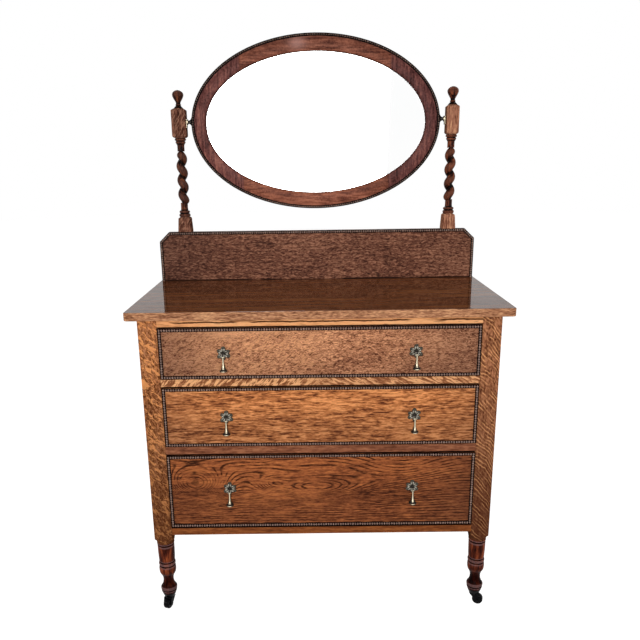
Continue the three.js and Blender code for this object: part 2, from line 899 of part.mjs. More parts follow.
// Bead strip on the frame's front, along its outer edge
function mirrorBead() {
  const face = frameFront - seatGap;
  const front = frameFront - mirrorBeadProud;
  const middle = (face + front) / 2;
  const at = (inset, y) => [mirrorHalfWidth - inset, mirrorHalfHeight - inset, y];
  const w = mirrorBeadWidth;
  const edge = w / 4;
  return oval(
    [at(0, face), at(w, face), at(w - edge, front), at(edge, front), at(0, middle)],
    mirrorCentre,
    true,
  );
}

// Castor, trailing along +X from its upright pin
const axleX = castorTrail;
const axleZ = castorWheelRadius;
const crownFoot = 2 * castorWheelRadius + castorRunningGap;
function castorFork() {
  const crownTop = crownFoot + castorCrownThickness;
  const cheekInner = castorWheelWidth / 2 + castorRunningGap;
  const cheekOuter = cheekInner + castorCheekThickness;
  const r = castorCheekBoss;
  const outline = new THREE.Shape();
  outline.moveTo(-castorCheekRearShare * castorCrownRadius, crownTop);
  outline.lineTo(castorCheekFrontShare * castorCrownRadius, crownTop);
  outline.lineTo(axleX + r, axleZ);
  outline.absarc(axleX, axleZ, r, 0, Math.PI, true);
  let shape = barZ(0, 0, crownFoot, crownTop, castorCrownRadius, turnedSides);
  shape = shape.add(barZ(0, 0, crownFoot, crownTop + castorPinLength, castorPinRadius));
  shape = shape.add(board(outline, cheekInner, cheekOuter));
  shape = shape.add(board(outline, -cheekOuter, -cheekInner));
  return shape.add(barY(axleX, -cheekOuter, cheekOuter, axleZ, castorAxleRadius));
}
function castorWheel() {
  const half = castorWheelWidth / 2;
  const bore = castorAxleRadius + pinGap;
  const e = castorWheelEdge;
  const profile = [
    [bore, -half],
    [castorWheelRadius - e, -half],
    [castorWheelRadius, e - half],
    [castorWheelRadius, half - e],
    [castorWheelRadius - e, half],
    [bore, half],
    [bore, -half],
  ].map(([radius, y]) => new THREE.Vector2(radius, y));
  const geometry = new THREE.LatheGeometry(profile, turnedSides);
  geometry.translate(axleX, 0, axleZ);
  return solid(geometry);
}

// Assembly
const chest = new THREE.Group();
const body = new THREE.Group();
body.position.y = -middleY;
chest.add(body);

place(body, "top", topBoard(), oakTop);
for (const [side, hand] of sides) {
  place(body, `post_front_${side}`, cornerPost(postAxisFront), oakCase, hand);
  place(body, `post_rear_${side}`, cornerPost(postAxisRear), oakCase, hand);
  place(body, `side_panel_${side}`, caseSide(), oakCase, hand);
}
place(body, "rail_top", frontRail(topRailFoot, topRailHeight), oakLight);
place(body, "rail_upper", frontRail(upperRailFoot, upperRailHeight), oakLight);
place(body, "rail_lower", frontRail(lowerRailFoot, lowerRailHeight), oakCase);
place(body, "rail_bottom", frontRail(bottomRailFoot, bottomRailHeight), oakCase);
place(body, "back_panel", caseBack(), plainWood);

levels.forEach(([level, railTop, frontFoot, frontHeight, pullRise], i) => {
  drawer(body, level, railTop, frontFoot, frontHeight, i < 2 ? oakFront : oakFrontRed);
  const pullZ = frontFoot + frontHeight / 2 + pullRise;
  for (const [side, hand] of sides) {
    place(body, `rosette_${level}_${side}`, rosette(pullSpacing / 2, pullZ), brass, hand);
    place(body, `drop_${level}_${side}`, drop(pullSpacing / 2, pullZ), brass, hand);
  }
});

place(body, "backboard", backboard(), oakDark);
place(
  body,
  "backboard_moulding",
  strip(backboardCorners, beadSection(backboardBeadWidth, beadProud), backboardFace, false),
  beadFinish,
);
for (const [side, hand] of sides) {
  place(body, `mirror_post_${side}`, standard(), oakDark, hand);
  place(body, `pivot_bracket_${side}`, pivotBracket(), brass, hand);
}
place(body, "mirror_frame", mirrorFrame(), oakDark);
place(body, "mirror_moulding", mirrorBead(), beadFinish);
place(body, "mirror_glass", mirrorDisc(rebateFace + seatGap, glassThickness), silvering);
place(
  body,
  "mirror_backing",
  mirrorDisc(rebateFace + glassThickness + 2 * seatGap, mirrorBackThickness),
  plainWood,
);

// Castors stand as they last rolled, each with its own heading
const castorHeadings = [
  ["front_left", -1, postAxisFront, 250],
  ["front_right", 1, postAxisFront, -20],
  ["rear_left", -1, postAxisRear, 75],
  ["rear_right", 1, postAxisRear, 110],
];
for (const [name, hand, axisY, heading] of castorHeadings) {
  const castor = new THREE.Group();
  castor.position.set(hand * postAxisX, axisY, 0);
  castor.rotation.z = THREE.MathUtils.degToRad(heading);
  body.add(castor);
  place(castor, `castor_fork_${name}`, castorFork(), castorBlack);
  place(castor, `castor_wheel_${name}`, castorWheel(), castorBlack);
}

export default chest;
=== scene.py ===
"""Looks for an oak dressing chest with an oval mirror: figured oak, carved beads, turned feet and brass."""

import json
import math

import bpy
from mathutils import Matrix, Vector


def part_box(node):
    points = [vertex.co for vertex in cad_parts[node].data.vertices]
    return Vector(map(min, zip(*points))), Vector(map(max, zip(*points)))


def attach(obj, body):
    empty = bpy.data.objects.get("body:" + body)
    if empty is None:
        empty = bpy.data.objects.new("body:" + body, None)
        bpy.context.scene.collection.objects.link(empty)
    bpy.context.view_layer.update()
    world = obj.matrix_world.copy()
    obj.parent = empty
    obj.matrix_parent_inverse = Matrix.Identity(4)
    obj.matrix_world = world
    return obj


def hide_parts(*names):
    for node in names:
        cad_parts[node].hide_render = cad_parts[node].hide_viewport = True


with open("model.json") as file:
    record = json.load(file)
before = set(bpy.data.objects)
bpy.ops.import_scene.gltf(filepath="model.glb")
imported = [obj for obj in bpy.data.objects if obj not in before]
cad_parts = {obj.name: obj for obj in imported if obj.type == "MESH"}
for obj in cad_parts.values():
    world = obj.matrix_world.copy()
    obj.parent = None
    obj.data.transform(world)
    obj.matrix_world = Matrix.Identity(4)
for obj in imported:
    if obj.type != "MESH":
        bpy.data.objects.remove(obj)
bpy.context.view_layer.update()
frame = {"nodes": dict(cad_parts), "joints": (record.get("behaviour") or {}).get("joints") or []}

bl_info = {
    "name": "Oak Dressing Chest",
    "version": (1, 0, 0),
    "blender": (4, 5, 0),
    "location": "View3D > Sidebar > Chest",
    "description": "Dresses a packed oak chest with figured veneer, beads, turnings and brass",
    "category": "Object",
}

LEVELS = ("upper", "middle", "lower")
CORNERS = ("front_left", "front_right", "rear_left", "rear_right")
# What puts a piece made for the right side on each side
SIDES = {"left": Matrix.Scale(-1, 4, (1, 0, 0)), "right": Matrix.Identity(4)}
# Where the hinges are
JOINTS = {joint["name"]: Vector(joint["pos_m"]) for joint in frame["joints"] if joint.get("pos_m")}

DRAWER_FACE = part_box("drawer_upper_front")[0].y  # how far forward the drawers' faces lie
LEG_LENGTH = 0.1803  # height of the turned part of a foot
TURNED_SHARE = 0.905  # share of it that shows the turnings' finish
GROOVED_SHARE = 0.93  # share of it with darker grooves and a painted highlight on its crests
SOCKET_TOP = 0.0455  # top of the black socket on a foot's end
GLASS_LOW, GLASS_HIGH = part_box("mirror_glass")
LIP = 0.0067  # how far the frame's lip covers the glass
# Half width and half height of the glass that shows, and the height of its middle
SIGHT = ((GLASS_HIGH.x - GLASS_LOW.x) / 2 - LIP, (GLASS_HIGH.z - GLASS_LOW.z) / 2 - LIP)
SIGHT_MIDDLE = (GLASS_LOW.z + GLASS_HIGH.z) / 2

# A standard stands on the backboard and runs down behind it, a hair off
BACKBOARD_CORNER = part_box("backboard")[1]
HAIR = 0.0003
STANDARD_FOOT, TAIL_FRONT = BACKBOARD_CORNER.z + HAIR, BACKBOARD_CORNER.y + HAIR
# Its parts from its foot up
BASE_HEIGHT, LOWER_COLLAR_HEIGHT, LOWER_NECK_HEIGHT, TWIST_HEIGHT = 0.041, 0.025, 0.0145, 0.138
UPPER_NECK_HEIGHT, UPPER_COLLAR_HEIGHT, BLOCK_HEIGHT, FINIAL_HEIGHT = 0.020, 0.019, 0.077, 0.048
NECK = 0.52  # the necks' share of the standard's half width
RIGHT_BLOCK_WIDTH = 0.87  # the right block is narrower

# Outlines of turnings, as strokes through points of (share of height, share of radius). Each stroke is
# smooth, and goes on from the last point of the one before, where the two meet at an edge.
LEG = (
    ((0, 0.02), (0, 0.6)), ((0.03, 0.71), (0.07, 0.82), (0.1, 0.885)),
    ((0.108, 0.84), (0.116, 0.84), (0.124, 0.9)),
    ((0.14, 0.925), (0.16, 0.9), (0.18, 0.79)),
    ((0.215, 0.665), (0.26, 0.59), (0.31, 0.6), (0.352, 0.7), (0.388, 0.86)),
    ((0.42, 0.93), (0.47, 0.955), (0.505, 0.92)), ((0.513, 0.82), (0.525, 0.82), (0.532, 0.92)),
    ((0.55, 0.95), (0.568, 0.93)), ((0.576, 0.82), (0.584, 0.82), (0.592, 0.885)),
    ((0.66, 0.915), (0.76, 0.94), (0.846, 0.95)), ((0.854, 0.84), (0.868, 0.84)),
    ((0.876, 0.96), (0.892, 0.985), (0.904, 0.96)), ((0.935, 1.03), (0.965, 1.17), (1, 1.457)),
    ((1.01, 1.5),),
    ((4.3, 1.5),),
)
LOWER_COLLAR = (
    ((-0.1, 0.73), (0.06, 0.73)), ((0.11, 0.82), (0.25, 0.84), (0.37, 0.79)), ((0.41, 0.7), (0.49, 0.7)),
    ((0.54, 0.78), (0.64, 0.78), (0.73, 0.71)), ((0.78, 0.56), (0.86, 0.55)), ((1, NECK), (1.6, NECK)),
)
UPPER_COLLAR = (
    ((-0.9, NECK), (-0.2, NECK), (0, 0.53)), ((0.1, 0.6), (0.2, 0.64)),
    ((0.26, 0.7), (0.4, 0.73), (0.5, 0.7)),
    ((0.54, 0.66), (0.58, 0.66)), ((0.64, 0.79), (0.78, 0.83), (0.88, 0.79)), ((0.91, 0.74), (0.94, 0.74)),
    ((1.1, 0.9),),
)
FINIAL = (
    ((-0.08, 0.68), (0, 0.69)), ((0.03, 0.66), (0.08, 0.55), (0.13, 0.42), (0.16, 0.36)),
    ((0.18, 0.4), (0.21, 0.41), (0.235, 0.34)),
    ((0.28, 0.33), (0.33, 0.35), (0.386, 0.42), (0.478, 0.56), (0.578, 0.7), (0.688, 0.8), (0.78, 0.8),
     (0.881, 0.69), (0.954, 0.44), (0.986, 0.22), (1, 0.02)),
)
DROP_STEM = (
    ((0.15, 0.6), (0.17, 0.58), (0.24, 0.44), (0.36, 0.32), (0.52, 0.245), (0.68, 0.225), (0.82, 0.26)),
)
DROP_COLLAR = (
    ((0.055, 0.02), (0.055, 0.9)), ((0.075, 0.86), (0.11, 0.7), (0.15, 0.56)), ((0.155, 0.02),),
)
DROP_RIM = (
    ((0, 0.02), (0, 0.9)), ((0.012, 0.98), (0.05, 0.985), (0.065, 0.93)), ((0.066, 0.02),),
)
PIN_FLARE = (
    ((0, 0.02), (0, 1)), ((0.2, 0.74), (0.45, 0.48), (0.75, 0.33), (1, 0.29)), ((1.01, 0.02),),
)
PLATE = (
    ((0, 0.02), (0, 0.94)), ((0.2, 1), (0.8, 1), (1, 0.94)), ((1, 0.02),),
)
CROWN = (
    ((0, 0.02), (0, 0.96)), ((0.1, 1), (0.5, 1), (0.9, 0.93), (1, 0.86)), ((1, 0.02),),
)
WHEEL = (
    ((0, 0.02), (0, 0.5)),
    ((0.02, 0.62), (0.02, 0.74), (0.04, 0.84), (0.12, 0.95), (0.28, 0.995), (0.5, 1), (0.72, 0.995),
     (0.88, 0.95), (0.96, 0.84), (0.98, 0.74), (0.98, 0.62), (1, 0.5)), ((1, 0.02),),
)


class ChestColours(bpy.types.PropertyGroup):
    """Colours of the finishes."""

    def paint(name, description, value):
        return bpy.props.FloatVectorProperty(
            name=name, description=description, default=value, subtype="COLOR", size=3, min=0, max=1
        )

    bead: paint("Beads", "Dark stain on the carved beads", (0.19, 0.12, 0.095))
    ground: paint("Ground", "Near black stain behind the beads", (0.004, 0.003, 0.003))
    # On the drops, brass paints a highlight where they face the front and bronze a dark reflection on their
    # flanks; the rubbed bronze is also a painted highlight where rosette petals face up
    brass: paint("Brass", "Worn brass of the drops and brackets", (0.6, 0.51, 0.36))
    bronze: paint("Bronze", "Tarnish on rosettes and drops", (0.043, 0.037, 0.026))
    rubbed_and_lit: paint("Rubbed bronze", "Bronze where hands have rubbed it", (0.31, 0.285, 0.235))
    castor: paint("Castors", "Black gloss of the castors", (0.003, 0.003, 0.0035))


class ChestSizes(bpy.types.PropertyGroup):
    """Sizes of what the carver, the turner and the founder made."""

    def length(name, description, value):
        return bpy.props.FloatProperty(
            name=name, description=description, default=value, min=0.0001, unit="LENGTH", subtype="DISTANCE"
        )

    bead_pitch: length("Bead pitch", "Distance from one carved bead to the next", 0.00625)
    bead_width: length("Bead width", "Width of one carved bead across its strip", 0.0056)
    strip_width: length("Strip width", "Width of the moulding that carries the beads", 0.0085)
    strip_depth: length("Strip depth", "How far the beads stand proud of the face behind them", 0.0045)
    twist_radius: length("Twist radius", "Radius of the round bar in a standard's twist", 0.0116)
    twist_throw: length("Twist throw", "How far the twist's bar swings off its axis", 0.0039)
    twist_pitch: length("Twist pitch", "Height of one full turn of the twist", 0.0383)
    petal_reach: length("Petal reach", "Radius of a rosette at its petal tips", 0.0185)
    turned_sides: bpy.props.IntProperty(
        name="Turned sides", description="Facets round a turning", default=48, min=12, max=128
    )


class ChestStudio(bpy.types.PropertyGroup):
    """Light and camera."""

    def power(name, description, value):
        return bpy.props.FloatProperty(name=name, description=description, default=value, min=0, unit="POWER")

    lens: bpy.props.FloatProperty(
        name="Lens", description="Focal length of the camera", default=38.906, min=10, unit="CAMERA"
    )
    key: power("Key", "Power of the large lamp in front", 72)
    accent: power("Accent", "Power of the small lamp overhead", 9)
    side: power("Side", "Power of each of the two lamps beside", 30)
    rear: power("Rear", "Power of the lamp behind", 30)
    sky: bpy.props.FloatProperty(
        name="Sky", description="Strength of the light from all round", default=0.16, min=0
    )


# Modelling helpers


def clear_selection():
    bpy.ops.object.select_all(action="DESELECT")


def active():
    return bpy.context.view_layer.objects.active


def selected(piece):
    """Selects one piece alone."""
    clear_selection()
    piece.select_set(True)
    bpy.context.view_layer.objects.active = piece
    return piece


def open_mesh(action="SELECT"):
    """Opens the active piece's mesh, with all or none of it selected."""
    bpy.ops.object.mode_set(mode="EDIT")
    bpy.ops.mesh.select_all(action=action)


def close_mesh():
    bpy.ops.object.mode_set(mode="OBJECT")


def keep_place():
    """Puts the selected piece's place into its mesh."""
    bpy.ops.object.transform_apply(location=True, rotation=True, scale=True)


def smooth(angle):
    bpy.ops.object.shade_smooth_by_angle(angle=math.radians(angle))


def discard(*pieces):
    for piece in pieces:
        bpy.data.objects.remove(piece)


def recalculated(piece):
    """Turns every face of a closed piece outwards."""
    selected(piece)
    open_mesh()
    bpy.ops.mesh.normals_make_consistent(inside=False)
    close_mesh()
    return piece


def finished(name, angle=38):
    """Names the active piece, puts its place into its mesh, turns its faces out and smooths it."""
    piece = active()
    piece.name = piece.data.name = name
    keep_place()
    recalculated(piece)
    smooth(angle)
    return piece


def flowing(strokes, steps=4):
    """Points along smooth strokes, each from the end of the one before and through its own points."""
    points = []
    for stroke in strokes:
        run = [*points[-1:], *stroke]
        if len(run) > 2:
            ends = (run[0], *run, run[-1])
            run = run[:1]
            for four in zip(ends, ends[1:], ends[2:], ends[3:]):
                for k in range(1, steps + 1):
                    t = k / steps
                    run.append(tuple(
                        0.5 * (2 * q + (r - p) * t + (2 * p - 5 * q + 4 * r - s) * t * t
                               + (3 * q - p - 3 * r + s) * t ** 3)
                        for p, q, r, s in zip(*four)
                    ))
        points += run[1:] if points else run
    return points


def stack(name, sides, stations, turn=0.0, ring=False):
    """A skin extruded from outline to outline. A station is a centre and two half widths. A ring faces the
    front, and its last outline meets its first."""
    clear_selection()
    bpy.ops.mesh.primitive_circle_add(
        vertices=sides, radius=1, fill_type="NOTHING" if ring else "NGON", location=stations[0][0],
        rotation=(math.pi / 2, 0, 0) if ring else (0, 0, turn),
    )
    keep_place()
    open_mesh()
    here, wide, high = Vector(stations[0][0]), 1.0, 1.0
    for i, (centre, (a, b)) in enumerate(stations):
        there = Vector(centre)
        if i:
            bpy.ops.mesh.extrude_region_move(TRANSFORM_OT_translate={"value": there - here})
        k, m = a / wide, b / high
        bpy.ops.transform.resize(value=(k, 1, m) if ring else (k, m, 1), center_override=there)
        here, wide, high = there, a, b
    if ring:
        bpy.ops.mesh.select_mode(type="EDGE")
        bpy.ops.mesh.select_all(action="DESELECT")
        bpy.ops.mesh.select_non_manifold()
        bpy.ops.mesh.bridge_edge_loops()
    close_mesh()
    return finished(name)


def turned(name, strokes, foot, height, radius, sides, centre=(0, 0), steps=4):
    """A turning on an upright axis."""
    line = [(foot + along * height, across * radius) for along, across in flowing(strokes, steps)]
    piece = stack(name, sides, [((*centre, z), (r, r)) for z, r in line])
    return grooved(piece, line, foot, foot + height)


def grooved(piece, line, low, high):
    """Notes how each point of a turning lies against its surroundings: 1 deep in a groove, -1 on a crest."""
    reach, deepest = 0.0035, 0.0006

    def radius_at(z):
        for (z0, r0), (z1, r1) in zip(line, line[1:]):
            if z <= z1:
                return r0 + (r1 - r0) * min(1, max(0, (z - z0) / max(1e-9, z1 - z0)))
        return line[-1][1]

    depths = {}
    for vertex in piece.data.vertices:
        z = round(vertex.co.z, 5)
        if z not in depths:
            around = sum(radius_at(z + k * reach / 4) for k in range(-4, 5)) / 9
            depths[z] = max(-1, min(1, (around - radius_at(z)) / deepest)) if low < z < high else 0
    return noted(piece, [depths[round(vertex.co.z, 5)] for vertex in piece.data.vertices])


def noted(piece, depths):
    """Keeps one depth for each point of a mesh, for darker grooves and a painted highlight on crests."""
    layer = piece.data.attributes.get("depth") or piece.data.attributes.new("depth", "FLOAT", "POINT")
    layer.data.foreach_set("value", depths)
    return piece


def apply_modifiers(piece):
    selected(piece)
    for modifier in list(piece.modifiers):
        bpy.ops.object.modifier_apply(modifier=modifier.name)
    return piece


def softened(piece, width):
    """Rounds the sharp edges of a piece."""
    bevel = piece.modifiers.new("soft edges", "BEVEL")
    bevel.width = width
    bevel.segments = 2
    bevel.limit_method = "ANGLE"
    bevel.angle_limit = math.radians(25)
    apply_modifiers(piece)
    smooth(38)
    return piece


def cut(piece, tool, operation):
    """Cuts a piece with another one's shape."""
    change = piece.modifiers.new("cut", "BOOLEAN")
    change.operation = operation
    change.object = tool
    change.solver = "EXACT"
    return apply_modifiers(piece)


def squared(name, edge, outline, centre):
    """A square block on an upright axis, from pairs of height and half width, with softened edges."""
    stations = [((*centre, z), (r * math.sqrt(2), r * math.sqrt(2))) for z, r in outline]
    return softened(stack(name, 4, stations, turn=math.pi / 4), edge)


def bar(name, centre, size, rotation=(0, 0, 0)):
    """A cuboid, level or turned."""
    clear_selection()
    bpy.ops.mesh.primitive_cube_add(size=1, location=centre, rotation=rotation)
    active().scale = size
    return finished(name)


def boxed(name, low, high):
    """A cuboid between two corners."""
    return bar(name, [(a + b) / 2 for a, b in zip(low, high)], [b - a for a, b in zip(low, high)])


def rod(name, start, end, radius, sides=24):
    """A round bar between two points."""
    start, end = Vector(start), Vector(end)
    axis = end - start
    clear_selection()
    bpy.ops.mesh.primitive_cylinder_add(
        vertices=sides, radius=radius, depth=axis.length, location=(start + end) / 2,
        rotation=axis.to_track_quat("Z", "Y").to_euler(),
    )
    return finished(name)


def ball(name, centre, size, segments=16, rings=8):
    """An ellipsoid from its three radii."""
    clear_selection()
    bpy.ops.mesh.primitive_uv_sphere_add(segments=segments, ring_count=rings, radius=1, location=centre)
    active().scale = size
    return finished(name, 80)


def row_of_beads(centre, size, count, step):
    """One carved bead with its repeats, which aren't applied yet."""
    bead = ball("bead", centre, size, 8, 6)
    row = bead.modifiers.new("row", "ARRAY")
    row.count = count
    row.use_relative_offset = False
    row.use_constant_offset = True
    row.constant_offset_displace = step
    return bead


def joined(name, parts):
    """Several shells in one piece."""
    clear_selection()
    for part in parts:
        part.select_set(True)
    bpy.context.view_layer.objects.active = parts[0]
    bpy.ops.object.join()
    parts[0].name = parts[0].data.name = name
    return parts[0]


def turn(degrees, axis):
    return Matrix.Rotation(math.radians(degrees), 4, axis)


def moved(piece, change):
    """Moves a piece by a matrix and puts its place into its mesh."""
    selected(piece)
    piece.matrix_world = change @ piece.matrix_world
    keep_place()
    return piece


def copied(piece, name, change):
    """A copy with its own mesh, put in place by a matrix."""
    selected(piece)
    bpy.ops.object.duplicate(linked=False)
    twin = moved(active(), change)
    twin.name = twin.data.name = name
    return recalculated(twin)


def on_both_sides(piece, name, *what):
    """Mirrors a piece made for the right side to the left, dresses both and drops the first."""
    for side, hand in SIDES.items():
        dressed(copied(piece, f"{name}_{side}", hand), *(word.format(side) for word in what))
    discard(piece)


def painted(piece, *finishes):
    """Gives a piece its finishes by name."""
    piece.data.materials.clear()
    for finish in finishes:
        piece.data.materials.append(FINISHES[finish])
    return piece


def dressed(piece, body, slot, *nodes):
    """Says which body a piece moves with and which solids it stands for. The slot is not used."""
    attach(piece, body)
    if nodes:
        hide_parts(*nodes)
    return piece


# Shader helpers


class Field:
    """A socket that can be used in sums."""

    def __init__(self, shade, socket):
        self.shade, self.socket = shade, socket

    def math(self, operation, other=None, swapped=False):
        values = [self] if other is None else [other, self] if swapped else [self, other]
        return self.shade.node("ShaderNodeMath", {"operation": operation}, dict(enumerate(values)))

    def __add__(self, other):
        return self.math("ADD", other)

    def __radd__(self, other):
        return self.math("ADD", other)

    def __sub__(self, other):
        return self.math("SUBTRACT", other)

    def __rsub__(self, other):
        return self.math("SUBTRACT", other, True)

    def __mul__(self, other):
        return self.math("MULTIPLY", other)

    def __rmul__(self, other):
        return self.math("MULTIPLY", other)

    def __truediv__(self, other):
        return self.math("DIVIDE", other)

    def __rtruediv__(self, other):
        return self.math("DIVIDE", other, True)

    def __pow__(self, other):
        return self.math("POWER", other)

    def __abs__(self):
        return self.math("ABSOLUTE")

    def between(self, low, high):
        """0 below low, 1 above high, smooth between."""
        return self.shade.node(
            "ShaderNodeMapRange", {"interpolation_type": "SMOOTHSTEP", "clamp": True},
            {"Value": self, "From Min": low, "From Max": high},
        )

    def wave(self):
        """1 at every whole number, 0 halfway between."""
        return (self * (2 * math.pi)).math("COSINE") * 0.5 + 0.5


class Shade:
    """The nodes of a new material, or of the world."""

    def __init__(self, owner, shader="Principled BSDF"):
        self.owner = bpy.data.materials.new(owner) if isinstance(owner, str) else owner
        self.owner.use_nodes = True
        self.tree = self.owner.node_tree
        self.shader = self.tree.nodes[shader]

    def put(self, socket, value):
        """Links a field to a socket, or writes a number or a colour into it."""
        if isinstance(value, Field):
            self.tree.links.new(value.socket, socket)
        else:
            socket.default_value = value

    def node(self, kind, settings=None, values=None, output=0):
        made = self.tree.nodes.new(kind)
        for key, value in (settings or {}).items():
            setattr(made, key, value)
        for key, value in (values or {}).items():
            self.put(made.inputs[key], value)
        return Field(self, made.outputs[output])

    def coordinates(self, kind="Object"):
        return self.node("ShaderNodeTexCoord", output=kind)

    def split(self, vector):
        """The three numbers of a vector."""
        return [self.node("ShaderNodeSeparateXYZ", None, {0: vector}, axis) for axis in range(3)]

    def depth(self):
        """What noted keeps for each point of a mesh."""
        return self.node("ShaderNodeAttribute", {"attribute_name": "depth"}, output="Fac")

    def point(self, x, y, z):
        return self.node("ShaderNodeCombineXYZ", None, {0: x, 1: y, 2: z})

    def noise(self, vector, scale=1.0, detail=3.0, roughness=0.55, distortion=0.0):
        return self.node(
            "ShaderNodeTexNoise", None,
            {"Vector": vector, "Scale": scale, "Detail": detail, "Roughness": roughness,
             "Distortion": distortion},
        )

    def ramp(self, share, dark, middle, light):
        made = self.node("ShaderNodeValToRGB", None, {0: share})
        elements = made.socket.node.color_ramp.elements
        elements.new(0.5)
        for stop, place, colour in zip(elements, (0, 0.5, 1), (dark, middle, light)):
            stop.position, stop.color = place, (*colour, 1)
        return made

    def mix(self, share, first, second, blend="MIX"):
        first, second = (value if isinstance(value, Field) else (*value, 1) for value in (first, second))
        return self.node(
            "ShaderNodeMix", {"data_type": "RGBA", "blend_type": blend, "clamp_factor": True},
            {0: share, 6: first, 7: second}, 2,
        )

    def bump(self, height, depth, strength=1.0):
        self.set(Normal=self.node("ShaderNodeBump", None,
                                  {"Strength": strength, "Distance": depth, "Height": height}))

    def set(self, **values):
        for key, value in values.items():
            self.put(self.shader.inputs[key.replace("_", " ")],
                     (*value, 1) if isinstance(value, tuple) else value)
        return self.owner


def bell(x, z, middle_x, middle_z, wide, high):
    """1 in the middle of a spot, fading out all round it."""
    return ((((x - middle_x) / wide) ** 2 + ((z - middle_z) / high) ** 2) * -1).math("EXPONENT")


def scaled(colour, factor):
    return tuple(min(1.0, c * factor) for c in colour)


def shown(*display):
    """The linear colour that shows as these display values of red, green and blue."""
    return tuple(v / 12.92 if v <= 0.04045 else ((v + 0.055) / 1.055) ** 2.4
                 for v in (c / 255 for c in display))


